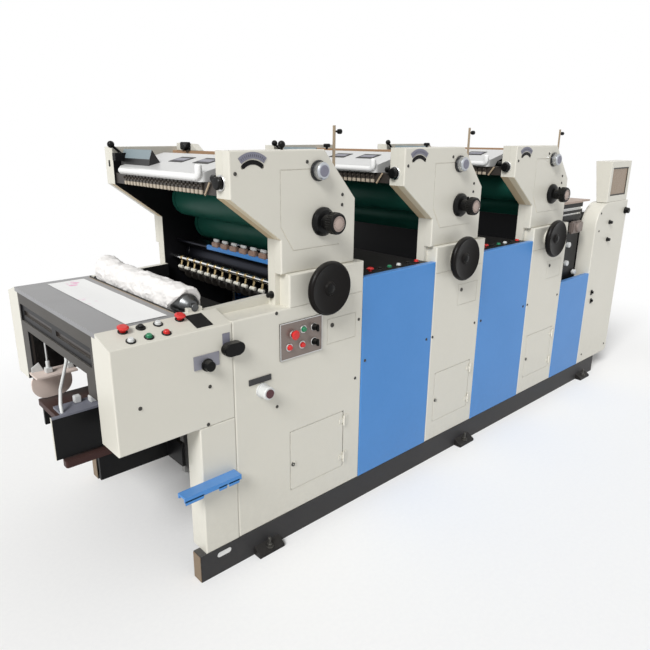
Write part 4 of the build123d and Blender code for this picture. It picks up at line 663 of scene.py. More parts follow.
class Coat(Enum):
    """Finishes of the press."""

    CREAM = enamel("cream_enamel")
    CHEEK = enamel("cheek_enamel", black(within(SEAMS.cheek_in)))
    # The warm tan zone on the covers' downward faces is painted light: bounce light from the floor on
    # their shaded undersides.
    COVER = enamel("cover_enamel", Zone((0.8, 0.71, 0.53), (SIDEWAYS, UNDERSIDE), 0.4))
    # Black on the inner faces of the delivery boxes is painted shade inside the boxes.
    BOX = enamel("box_enamel", black(Limit(Axis.Y, PRESS.mid, SEAMS.box_far), NEARWARD),
                 black(Limit(Axis.Y, SEAMS.box_near, PRESS.mid), FARWARD))
    LIP = Finish("lip_enamel", (0.78, 0.78, 0.77), 0.3, coat=0.2, shade=0.03)
    TAN = Finish("tan_enamel", TAN_TONE, 0.45)
    BLUE = Finish("blue_enamel", (0.062, 0.245, 0.6), 0.38, specular=0.4, shade=0.1,
                  worn=(0.45, 0.55, 0.66))
    BASE = Finish("base_grey_enamel", (0.024, 0.024, 0.026), 0.5, specular=0.25,
                  worn=(0.16, 0.15, 0.14))
    BLACK = Finish("satin_black", BLACK_TONE, 0.42, specular=0.12, shade=0.2, dust=0.03,
                   worn=(0.12, 0.12, 0.12))
    CASTING = Finish("side_frames", (0.007, 0.007, 0.008), 0.5, specular=0.15, dust=0.04, zones=(
        cream(SIDEWAYS),
        # Warm tan on the frames' downward faces is painted light: floor bounce on their shaded
        # undersides.
        Zone((0.6, 0.48, 0.31), (SIDEWAYS, UNDERSIDE), 0.45),
        cream(Limit(Axis.Z, SEAMS.frame_top)),
        cream(NEARWARD, Limit(Axis.Y, high=SEAMS.frame_near)),
        cream(FARWARD, Limit(Axis.Y, SEAMS.frame_far)),
        Zone((0.4, 0.25, 0.15), (within(SEAMS.frame_wall),), 0.5)))
    TABLE = Finish("table_grey", (0.225, 0.225, 0.232), 0.36, shade=0.16)
    FRONT = Finish("front_panel_brown", (0.046, 0.041, 0.035), 0.42, specular=0.2, zones=(
        black(NEARWARD),
        # The near-black groove zone is painted shade in the panel's recess.
        Zone((0.008, 0.008, 0.009), (Limit(Axis.X, SEAMS.panel_groove, SEAMS.panel_bed),)),
        Zone((0.04, 0.034, 0.03), (Limit(Axis.X, SEAMS.panel_bed, SEAMS.panel_back),), 0.3)))
    WELL = Finish("well_black", (0.004, 0.004, 0.005), 0.45, specular=0.1, dust=0.03)
    JOGGER = Finish("jogger_plates", BLACK_TONE, 0.42, specular=0.15, dust=0.03, zones=(
        Zone((0.16, 0.165, 0.2), (Limit(Axis.Z, SEAMS.jogger_top),), 0.4),
        cream(Limit(Axis.X, high=SEAMS.jogger_front)),
        Zone((0.7, 0.59, 0.53), (Limit(Axis.Y, PRESS.mid),), 0.5)))
    STEEL = Brushed("ground_steel", STEEL_TONE)
    # Near-black steel of the impression cylinder and wash shaft is painted shade of the throat they
    # sit in.
    DARK_STEEL = Brushed("dark_steel", (0.03, 0.032, 0.042), roughness=0.36)
    END_STEEL = Brushed("roll_end_steel", (0.105, 0.108, 0.11), roughness=0.3)
    # The dark brown zone below the hood's front is painted shade under the lip.
    HOOD = Finish("hood_grey", (0.6, 0.6, 0.59), 0.36, metallic=0.15, dust=0.04, zones=(
        Zone((0.03, 0.024, 0.02), (Limit(Axis.Z, high=SEAMS.hood_low),), 0.45),))
    WHEELS = Moulding("sheet_wheels", (0.022, 0.019, 0.016), 0.45, zones=(
        Zone((0.85, 0.85, 0.84), (Limit(Axis.Z, SEAMS.wheel_rim),), 0.16, 1.0),))
    GREEN_ROLLER = Rubber("green_blanket", (0.019, 0.128, 0.092), 0.4, specular=0.15)
    BLACK_ROLLER = Rubber("ink_roller_rubber", (0.007, 0.008, 0.008), 0.4, specular=0.15)
    PLATES = Brushed("control_plates", (0.22, 0.18, 0.16), roughness=0.42, metallic=0.4,
                     lay=Axis.X, zones=(
        Zone((0.26, 0.26, 0.3), (Limit(Axis.X, high=SEAMS.plate_end),), 0.4, 0.4),
        Zone((0.02, 0.02, 0.022), (Limit(Axis.Z, high=SEAMS.low_panel),), 0.4)))
    BLACK_KNOB = Moulding("black_moulding", (0.005, 0.005, 0.005), 0.3, specular=0.14, wear=0.06)
    WHEEL = Moulding("handwheel_moulding", (0.006, 0.005, 0.0045), 0.34, specular=0.12,
                     shade=0.25, wear=0.06)
    RED = Moulding("red_moulding", (0.62, 0.018, 0.016), 0.28, zones=(
        Zone((0.075, 0.014, 0.02), (Limit(Axis.Z, high=SEAMS.low_panel),), 0.3),))
    GREEN = Moulding("green_moulding", (0.01, 0.2, 0.085), 0.3)
    WHITE = Moulding("white_moulding", (0.66, 0.67, 0.66), 0.33)
    FACE = Moulding("knob_face", (0.42, 0.33, 0.29), 0.42)
    INK_KNOB = Brushed("ink_knob_metal", (0.5, 0.52, 0.55), roughness=0.33, zones=(
        black(Limit(Axis.Y, SEAMS.knob_back), roughness=0.35),))
    BOARD = Timber("board_paint", (0.034, 0.009, 0.007), 0.5, specular=0.3, dust=0.03,
                   worn=(0.2, 0.1, 0.07))
    HEAD = Finish("feeder_head", BLACK_TONE, 0.38, specular=0.15, dust=0.03, zones=(
        *(bright(Limit(Axis.Z, *bar)) for bar in SEAMS.head_bars),
        Zone((0.42, 0.33, 0.28), (Limit(Axis.Z, SEAMS.head_top),), 0.5),
        bright(Limit(Axis.X, SEAMS.head_back), 0.3)))
    SHEET = Paper("printed_sheet", (0.83, 0.83, 0.82), crease=5.0, relief=0.0001, shade=0.03,
                  zones=(
        Zone((0.78, 0.3, 0.52), (Limit(Axis.X, *SEAMS.print_x), Limit(Axis.Y, *SEAMS.print_y)),
             0.7, broken=0.4),
        Zone((0.8, 0.62, 0.7), (Limit(Axis.X, *SEAMS.faint_x), Limit(Axis.Y, *SEAMS.faint_y)),
             0.7, broken=0.52)))
    WRAP = Paper("crumpled_wrap", (0.8, 0.78, 0.76), shade=0.1)
    BRASS = Brushed("gripper_brass", (0.6, 0.46, 0.24), roughness=0.36)
    SCREW = Brushed("screw_heads", (0.06, 0.058, 0.052), roughness=0.45, metallic=0.6)
    SCALE = Finish("scale_plate", (0.2, 0.2, 0.25), 0.42, metallic=0.2)
    WEDGE = Finish("wedge_grey", (0.2, 0.25, 0.27), 0.42, zones=(
        black(NEARWARD, roughness=0.4),
        black(Limit(Axis.Z, high=SEAMS.wedge_low), roughness=0.4)))
    RAIL_END = Finish("rail_end_brown", (0.2, 0.14, 0.085), 0.5)
    GLASS = Finish("screen_glass", (0.3, 0.225, 0.16), 0.28, specular=0.3, shade=0.06,
                   dust=0.0, wear=0.0)
    # The keys' dark body is painted shade under the hood's lip, and their tan lower tips are painted
    # light.
    KEYS = Moulding("ink_keys", (0.05, 0.04, 0.031), 0.45, zones=(
        Zone((0.42, 0.36, 0.28), (Limit(Axis.Z, high=SEAMS.key_low),), 0.45),))
    BLOCKS = Moulding("wash_block_brown", (0.33, 0.21, 0.16), 0.45)

    def material(self) -> Material:
        """The finish's material, made once."""
        return bpy.data.materials.get(self.value.name) or self.value.material()


def mount(piece: Piece, body: str = "press") -> Piece:
    """Fixes a finished piece to a body and reports it.

    Args:
        piece: The piece.
        body: Body that it moves with.

    Returns:
        The piece.
    """
    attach(piece, body)
    LOG.info("%s on %s, %d faces", piece.name, body, len(piece.data.polygons))
    return piece


class Form:
    """A mesh under construction, made of closed solids in metres."""

    def __init__(self) -> None:
        """Starts an empty form."""
        self.mesh = bmesh.new()

    def prism(self, outline: Sequence[Point], push: Point, edge: float = 0.0) -> Form:
        """Adds a solid pushed from an outline.

        Args:
            outline: Corners of the outline.
            push: Direction and length of the push.
            edge: Width of the rounded edges.

        Returns:
            This form.
        """
        lower = [self.mesh.verts.new(p) for p in outline]
        upper = [self.mesh.verts.new(Vector(p) + Vector(push)) for p in outline]
        count = len(lower)
        faces = [self.mesh.faces.new(lower), self.mesh.faces.new(list(reversed(upper)))]
        for n in range(count):
            m = (n + 1) % count
            faces.append(self.mesh.faces.new((lower[m], lower[n], upper[n], upper[m])))
        if edge:
            edges = list(dict.fromkeys(e for f in faces for e in f.edges))
            bmesh.ops.bevel(self.mesh, geom=edges, offset=edge, segments=2, affect="EDGES",
                            clamp_overlap=True)
        return self

    def block(self, low: Point, high: Point, edge: float = 0.001) -> Form:
        """Adds a block with rounded edges.

        Args:
            low: Lower corner.
            high: Upper corner.
            edge: Width of the rounded edges.

        Returns:
            This form.
        """
        (x0, y0, z0), (x1, y1, z1) = low, high
        base = [(x0, y0, z0), (x1, y0, z0), (x1, y1, z0), (x0, y1, z0)]
        return self.prism(base, (0, 0, z1 - z0), edge)

    def lathe(self, profile: Sequence[Pair], centre: Point, axis: Point, sides: int = 32) -> Form:
        """Adds a turned solid.

        Args:
            profile: Radius and reach along the axis, from one end to the other.
            centre: Where reach is nought.
            axis: Direction of the axis.
            sides: Number of sides.

        Returns:
            This form.
        """
        turn = Vector(UP).rotation_difference(Vector(axis)).to_matrix()
        rings = []
        for radius, reach in profile:
            spots = [0.0] if radius < 1e-7 else [math.tau * n / sides for n in range(sides)]
            rings.append([self.mesh.verts.new(Vector(centre) + turn @ Vector(
                (radius * math.cos(a), radius * math.sin(a), reach))) for a in spots])
        for below, above in zip(rings, rings[1:]):
            for n in range(sides):
                m = (n + 1) % sides
                around = [below[n % len(below)], below[m % len(below)],
                          above[m % len(above)], above[n % len(above)]]
                around = list(dict.fromkeys(around))
                if len(around) > 2:
                    self.mesh.faces.new(around)
        for ring in (rings[0], rings[-1]):
            if len(ring) > 2:
                self.mesh.faces.new(ring)
        return self

    def loft(self, rings: Sequence[Sequence[bmesh.types.BMVert]]) -> Form:
        """Joins rings of corners into a closed skin.

        Args:
            rings: Rings with the same number of corners, in order.

        Returns:
            This form.
        """
        for below, above in zip(rings, rings[1:]):
            for n in range(len(below)):
                m = (n + 1) % len(below)
                self.mesh.faces.new((below[n], below[m], above[m], above[n]))
        for ring in (rings[0], rings[-1]):
            self.mesh.faces.new(ring)
        return self

    def tube(self, path: Sequence[Point], radius: float, sides: int = 16) -> Form:
        """Adds a round bar along a bent path, with rounded ends.

        Args:
            path: Points that the middle of the bar follows.
            radius: Radius of the bar.
            sides: Number of sides.

        Returns:
            This form.
        """
        spots = [Vector(p) for p in path]
        last = len(spots) - 1
        aims = [(spots[min(n + 1, last)] - spots[max(n - 1, 0)]).normalized()
                for n in range(last + 1)]
        nose = ((0.6, 0.45), (0.45, 0.75), (0.2, 0.94))
        start, lead, end, trail = spots[0], aims[0], spots[-1], aims[-1]
        rows = [(start - lead * radius * reach, lead, radius * share) for reach, share in nose]
        rows += [(spot, aim, radius) for spot, aim in zip(spots, aims)]
        rows += [(end + trail * radius * reach, trail, radius * share)
                 for reach, share in reversed(nose)]
        side = aims[0].orthogonal()
        turns = [math.tau * n / sides for n in range(sides)]
        rings = []
        for spot, aim, size in rows:
            side = (side - aim * side.dot(aim)).normalized()
            other = aim.cross(side)
            spokes = [side * math.cos(t) + other * math.sin(t) for t in turns]
            rings.append([self.mesh.verts.new(spot + spoke * size) for spoke in spokes])
        return self.loft(rings)

    def border(self, low: Pair, high: Pair, y: Pair, width: float) -> Form:
        """Adds a flat rectangular frame in the XZ plane, of four mitred bars.

        Args:
            low: X and Z of the lower outer corner.
            high: X and Z of the upper outer corner.
            y: Back and front of the frame.
            width: Width of the bars.

        Returns:
            This form.
        """
        outer = [low, (high[0], low[1]), high, (low[0], high[1])]
        signs = [(1, 1), (-1, 1), (-1, -1), (1, -1)]
        inner = [(x + sx * width, z + sz * width) for (x, z), (sx, sz) in zip(outer, signs)]
        for n in range(4):
            m = (n + 1) % 4
            bar = (outer[n], outer[m], inner[m], inner[n])
            self.prism([(x, y[0], z) for x, z in bar], (0, y[1] - y[0], 0))
        return self

    def band(self, centre: Pair, y: Pair, radii: Pair, angles: Pair, steps: int = 20) -> Form:
        """Adds a flat plate that follows an arc in the XZ plane.

        Args:
            centre: X and Z of the arc's centre.
            y: Back and front of the plate.
            radii: Inner and outer radius.
            angles: First and last angle from +X, in degrees.
            steps: Number of straight runs.

        Returns:
            This form.
        """
        def spot(radius: float, n: int) -> Point:
            """Corner of the plate."""
            angle = math.radians(angles[0] + (angles[1] - angles[0]) * n / steps)
            return centre[0] + radius * math.cos(angle), y[0], centre[1] + radius * math.sin(angle)

        inner = [spot(radii[0], n) for n in range(steps + 1)]
        outer = [spot(radii[1], n) for n in range(steps, -1, -1)]
        return self.prism(inner + outer, (0, y[1] - y[0], 0))

    def piece(self, name: str, coat: Coat, smooth: float = 35.0) -> Piece:
        """Turns the form into an object.

        Args:
            name: Name of the piece.
            coat: Finish of the piece.
            smooth: Largest angle that is shaded smooth, in degrees.

        Returns:
            The object, at the origin.
        """
        bmesh.ops.recalc_face_normals(self.mesh, faces=self.mesh.faces[:])
        data = bpy.data.meshes.new(name)
        self.mesh.to_mesh(data)
        self.mesh.free()
        data.shade_smooth()
        data.set_sharp_from_angle(angle=math.radians(smooth))
        data.materials.append(coat.material())
        made = bpy.data.objects.new(name, data)
        bpy.context.scene.collection.objects.link(made)
        return made

    def fit(self, name: str, coat: Coat, slot: str, body: str = "press",
            smooth: float = 35.0) -> Piece:
        """Turns the form into a piece that is fixed to a body."""
        return mount(self.piece(name, coat, smooth), body)


def oval(half: float, radius: float, steps: int = 8) -> list[Pair]:
    """Outlines a bar with round ends, along the first axis.

    Args:
        half: Half the distance between the centres of the ends.
        radius: Radius of the ends.
        steps: Number of straight runs round each end.

    Returns:
        The corners, anticlockwise about nought.
    """
    turns = [math.pi * (n / steps - 0.5) for n in range(steps + 1)]
    right = [(half + radius * math.cos(t), radius * math.sin(t)) for t in turns]
    return right + [(-a, -b) for a, b in right]


class Repeat(Enum):
    """Ways of repeating a small shape."""

    SPOTS = "repeat_on_spots"
    LINE = "repeat_along_line"
    RING = "repeat_round_ring"


class Repeater:
    """Repeats a small shape through a Geometry Nodes tree and returns a plain mesh."""

    INPUTS: dict[Repeat, tuple[tuple[str, str], ...]] = {
        Repeat.SPOTS: (("Spin", "NodeSocketFloat"), ("Seed", "NodeSocketInt")),
        Repeat.LINE: (("Count", "NodeSocketInt"), ("Start", "NodeSocketVector"),
                      ("Step", "NodeSocketVector"),
                      ("Spin", "NodeSocketFloat"), ("Seed", "NodeSocketInt")),
        Repeat.RING: (("Count", "NodeSocketInt"), ("Centre", "NodeSocketVector"),
                      ("Radius", "NodeSocketFloat"),
                      ("First", "NodeSocketFloat"), ("Step Angle", "NodeSocketFloat")),
    }

    def __init__(self, way: Repeat) -> None:
        """Builds the tree.

        Args:
            way: How the shape is repeated.
        """
        self.way = way
        self.tree = bpy.data.node_groups.new(way.value, "GeometryNodeTree")
        face = self.tree.interface
        face.new_socket("Geometry", in_out="INPUT", socket_type="NodeSocketGeometry")
        face.new_socket("Shape", in_out="INPUT", socket_type="NodeSocketObject")
        face.new_socket("Finish", in_out="INPUT", socket_type="NodeSocketMaterial")
        for name, kind in self.INPUTS[way]:
            face.new_socket(name, in_out="INPUT", socket_type=kind)
        face.new_socket("Geometry", in_out="OUTPUT", socket_type="NodeSocketGeometry")
        self.desk = NodeDesk(self.tree)
        self.given = self.desk.node("NodeGroupInput").outputs
        points, turn = {Repeat.SPOTS: self._spots, Repeat.LINE: self._line,
                        Repeat.RING: self._ring}[way]()
        shape = self.desk.node("GeometryNodeObjectInfo", None, {"Object": self.given["Shape"]})
        placed = self.desk.node("GeometryNodeInstanceOnPoints", None, {
            "Points": points, "Instance": shape.outputs["Geometry"], "Rotation": turn})
        real = self.desk.node("GeometryNodeRealizeInstances", None, {"Geometry": placed.outputs[0]})
        coated = self.desk.node("GeometryNodeSetMaterial", None, {"Geometry": real.outputs[0],
                                                                  "Material": self.given["Finish"]})
        self.desk.node("NodeGroupOutput", None, {0: coated.outputs[0]})

    def _random_spin(self) -> Socket:
        """Turns each copy about the shape's own axis by a random angle, up to Spin.

        Returns:
            The turn of each copy.
        """
        spin = self.desk.signal("FunctionNodeRandomValue", {"data_type": "FLOAT"},
                                {"Max_001": self.given["Spin"], "Seed": self.given["Seed"]}, 1)
        return self.desk.node("ShaderNodeCombineXYZ", None, {2: spin}).outputs[0]

    def _spots(self) -> tuple[Socket, Socket]:
        """Takes the points of the carrier mesh, the shape's axis along each point's aim.

        Returns:
            The points, and the turn of each copy.
        """
        aim = self.desk.node("GeometryNodeInputNamedAttribute", {"data_type": "FLOAT_VECTOR"},
                             {"Name": "aim"})
        turn = self.desk.node("FunctionNodeAlignRotationToVector", {"axis": "Z"},
                              {"Rotation": self._random_spin(), "Vector": aim.outputs[0]})
        return self.given["Geometry"], turn.outputs[0]

    def _line(self) -> tuple[Socket, Socket]:
        """Lays points at even steps along a line.

        Returns:
            The points, and the turn of each copy.
        """
        line = self.desk.node("GeometryNodeMeshLine", {"mode": "OFFSET"}, {
            "Count": self.given["Count"], "Start Location": self.given["Start"],
            "Offset": self.given["Step"]})
        return line.outputs[0], self._random_spin()

    def _ring(self) -> tuple[Socket, Socket]:
        """Lays points round an axis along Y, the shape's X pointing outwards.

        Returns:
            The points, and the turn of each copy.
        """
        index = Signal(self.desk, self.desk.node("GeometryNodeInputIndex").outputs[0])
        step, first, radius = (Signal(self.desk, self.given[name])
                               for name in ("Step Angle", "First", "Radius"))
        angle = index * step + first
        spot = self.desk.node("ShaderNodeCombineXYZ", None, {
            0: radius * angle.turned("COSINE"), 2: radius * angle.turned("SINE")})
        centred = self.desk.node("ShaderNodeVectorMath", {"operation": "ADD"}, {
            0: spot.outputs[0], 1: self.given["Centre"]})
        dots = self.desk.node("GeometryNodePoints", None, {"Count": self.given["Count"],
                                                           "Position": centred.outputs[0]})
        turn = self.desk.node("ShaderNodeCombineXYZ", None, {1: 0.0 - angle})
        return dots.outputs[0], turn.outputs[0]

    def make(self, name: str, shape: Form, coat: Coat, slot: str, body: str = "press",
             spots: Sequence[Box] = (), **sizes: Any) -> Piece:
        """Repeats a shape, as one plain mesh that is fixed to a body.

        Args:
            name: Name of the new piece.
            shape: Small shape at the origin, its axis along Z.
            coat: Finish.
            slot: Not used.
            body: Body that it moves with.
            spots: Place and aim of each copy, for SPOTS.
            sizes: The tree's named inputs, with spaces as underscores.

        Returns:
            The piece, at the origin.
        """
        template = shape.piece(name + "_shape", coat)
        data = bpy.data.meshes.new(name + "_spots")
        data.from_pydata([place for place, _ in spots], [], [])
        aims = data.attributes.new("aim", "FLOAT_VECTOR", "POINT")
        for n, (_, aim) in enumerate(spots):
            aims.data[n].vector = aim
        carrier = bpy.data.objects.new(name + "_carrier", data)
        bpy.context.scene.collection.objects.link(carrier)
        modifier = carrier.modifiers.new("repeat", "NODES")
        modifier.node_group = self.tree
        given = {"Shape": template, "Finish": coat.material(),
                 **{key.replace("_", " "): value for key, value in sizes.items()}}
        for item in self.tree.interface.items_tree:
            if item.in_out == "INPUT" and item.name in given:
                modifier[item.identifier] = given[item.name]
        graph = bpy.context.evaluated_depsgraph_get()
        mesh = bpy.data.meshes.new_from_object(carrier.evaluated_get(graph), depsgraph=graph)
        mesh.name = name
        for spare in (carrier, template):
            bpy.data.objects.remove(spare)
        made = bpy.data.objects.new(name, mesh)
        bpy.context.scene.collection.objects.link(made)
        return mount(made, body)


WHITE_LIGHT = (1.0, 1.0, 1.0, 1.0)


@dataclass
class Studio:
    """Camera at the photograph's angle, pale floor and soft light."""

    place: Point = (-2.59667, -2.26048, 1.69848)
    right: Point = (0.74909, -0.66246, 0.00229)
    down: Point = (-0.1917, -0.22007, -0.95646)
    forward: Point = (0.63413, 0.71604, -0.29185)
    lens: float = 33.08
    shift: Pair = (0.0245, -0.0101)
    sky: float = 0.42
    sun: float = 3.0
    sun_from: Point = (-0.7, -0.28, 0.65)
    sun_spread: float = 24.0
    sensor: float = 36.0
    reach: float = 200.0
    floor: float = 40.0
    floor_tones: tuple[Colour, Colour] = ((0.86, 0.86, 0.86), (0.9, 0.9, 0.89))
    fade_size: Pair = (14.0, 7.0)
    fade_start: float = 0.55
    fade_rate: float = 1.4

    def build(self) -> None:
        """Makes the camera, the lights, the world and the floor."""
        scene = bpy.context.scene
        scene.view_settings.view_transform = "Standard"
        self.camera(scene)
        self.world(scene)
        self.light()
        self.ground()

    def camera(self, scene: bpy.types.Scene) -> None:
        """Puts the camera where the photograph was taken from.

        Args:
            scene: Scene that gets the camera.
        """
        data = bpy.data.cameras.new("photo_camera")
        data.lens, data.sensor_width = self.lens, self.sensor
        data.shift_x, data.shift_y = self.shift
        data.clip_end = self.reach
        eye = bpy.data.objects.new("photo_camera", data)
        columns = [Vector(self.right), -Vector(self.down), -Vector(self.forward)]
        eye.matrix_world = Matrix.Translation(self.place) @ Matrix(columns).transposed().to_4x4()
        scene.collection.objects.link(eye)
        scene.camera = eye

    @staticmethod
    def seen(desk: NodeDesk) -> Signal:
        """Tells the rays that show the backdrop from those that light the press.

        Args:
            desk: Builder of the tree.

        Returns:
            One for rays that show the backdrop, else nought.
        """
        path = desk.node("ShaderNodeLightPath").outputs
        total = Signal(desk, path["Is Camera Ray"]) + Signal(desk, path["Is Glossy Ray"])
        return (total + Signal(desk, path["Is Transmission Ray"])).clamped()

    def world(self, scene: bpy.types.Scene) -> None:
        """Sets a white backdrop over an even, plain sky light.

        Args:
            scene: Scene that gets the world.
        """
        scene.world = bpy.data.worlds.new("studio")
        scene.world.use_nodes = True
        desk = NodeDesk(scene.world.node_tree)
        desk.tree.nodes.clear()
        lit, shown = (desk.node("ShaderNodeBackground", None,
                                {"Color": WHITE_LIGHT, "Strength": power})
                      for power in (self.sky, 1.0))
        mixed = desk.node("ShaderNodeMixShader", None, {0: self.seen(desk), 1: lit.outputs[0],
                                                        2: shown.outputs[0]})
        desk.node("ShaderNodeOutputWorld", None, {0: mixed.outputs[0]})

    def light(self) -> None:
        """A broad soft light from the upper left of the camera."""
        data = bpy.data.lights.new("soft_key", "SUN")
        data.energy, data.angle = self.sun, math.radians(self.sun_spread)
        lamp = bpy.data.objects.new("soft_key", data)
        lamp.rotation_mode = "QUATERNION"
        lamp.rotation_quaternion = Vector(self.sun_from).to_track_quat("Z", "Y")
        bpy.context.scene.collection.objects.link(lamp)

    def ground(self) -> None:
        """A pale floor that takes the shadow of the press and fades into the backdrop."""
        desk = ShaderDesk("studio_floor")
        x, y = desk.along(Axis.X), desk.along(Axis.Y)
        away = x * x / self.fade_size[0] + y * y / self.fade_size[1]
        far = ((away - self.fade_start) * self.fade_rate).clamped()
        tone = desk.mix(desk.noise(60.0, 2.0), *self.floor_tones)
        matt = desk.node("ShaderNodeBsdfDiffuse", None, {"Color": tone})
        white = desk.node("ShaderNodeEmission", None, {"Color": WHITE_LIGHT, "Strength": 1.0})
        mixed = desk.node("ShaderNodeMixShader", None,
                          {0: self.seen(desk) * far, 1: matt.outputs[0], 2: white.outputs[0]})
        desk.node("ShaderNodeOutputMaterial", None, {0: mixed.outputs[0]})
        data = bpy.data.meshes.new("studio_floor")
        size = self.floor
        corner = [(-size, -size, 0), (size, -size, 0), (size, size, 0), (-size, size, 0)]
        data.from_pydata(corner, [], [(0, 1, 2, 3)])
        data.materials.append(desk.material)
        plane = bpy.data.objects.new("studio_floor", data)
        bpy.context.scene.collection.objects.link(plane)


@dataclass
class Castings:
    """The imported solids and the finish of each."""

    coats: dict[str, Coat] = field(default_factory=lambda: {
        "base_rails": Coat.BASE, "base_beams": Coat.BASE, "levelling_feet": Coat.BLACK,
        "unit_frames": Coat.CASTING, "upper_covers": Coat.COVER, "lower_covers": Coat.CREAM,
        "drive_covers": Coat.CREAM, "top_posts": Coat.TAN, "ink_rollers": Coat.BLACK_ROLLER,
        "ink_fountains": Coat.HOOD, "ink_guards": Coat.BLACK, "blue_panels": Coat.BLUE,
        "gap_trays": Coat.BLACK,
        "delivery_boxes": Coat.BOX, "delivery_posts": Coat.CREAM, "delivery_table": Coat.TABLE,
        "front_panel": Coat.FRONT, "delivery_cheeks": Coat.CHEEK, "delivery_floor": Coat.WELL,
        "delivery_wheels": Coat.WHEELS, "pile_board": Coat.BOARD, "pile_carriage": Coat.BLACK,
        "pile_guides": Coat.STEEL, "jogger_shafts": Coat.STEEL, "joggers": Coat.JOGGER,
        "foot_step": Coat.BLUE,
        "control_plates": Coat.PLATES, "red_buttons": Coat.RED, "green_buttons": Coat.GREEN,
        "white_buttons": Coat.WHITE, "black_knobs": Coat.BLACK_KNOB, "feeder_covers": Coat.CREAM,
        "screen_box": Coat.CREAM, "feeder_head": Coat.HEAD, "feeder_boards": Coat.STEEL,
        "delivery_roller": Coat.WRAP,
    })
    unit_coats: dict[str, Coat] = field(default_factory=lambda: {
        "handwheel": Coat.WHEEL, "impression_cylinder": Coat.DARK_STEEL,
        "blanket_cylinder": Coat.GREEN_ROLLER,
        "plate_cylinder": Coat.GREEN_ROLLER, "door": Coat.CREAM, "water_knob": Coat.BLACK_KNOB,
        "ink_knob": Coat.INK_KNOB, "lever": Coat.BLACK_KNOB,
    })

    def dress(self, nodes: Mapping[str, Piece]) -> None:
        """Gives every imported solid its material.

        Args:
            nodes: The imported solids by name.
        """
        for name, node in nodes.items():
            coat = self.coats.get(name) or self.unit_coats[name.split("_", 1)[1]]
            node.data.materials.clear()
            node.data.materials.append(coat.material())
            LOG.info("%s finished in %s", name, coat.value.name)


@dataclass
class Assembly:
    """A sub-assembly of the press, which builds and dresses its own pieces."""

    repeat: Mapping[Repeat, Repeater]

    def build(self) -> None:
        """Makes the pieces in order."""
        raise NotImplementedError


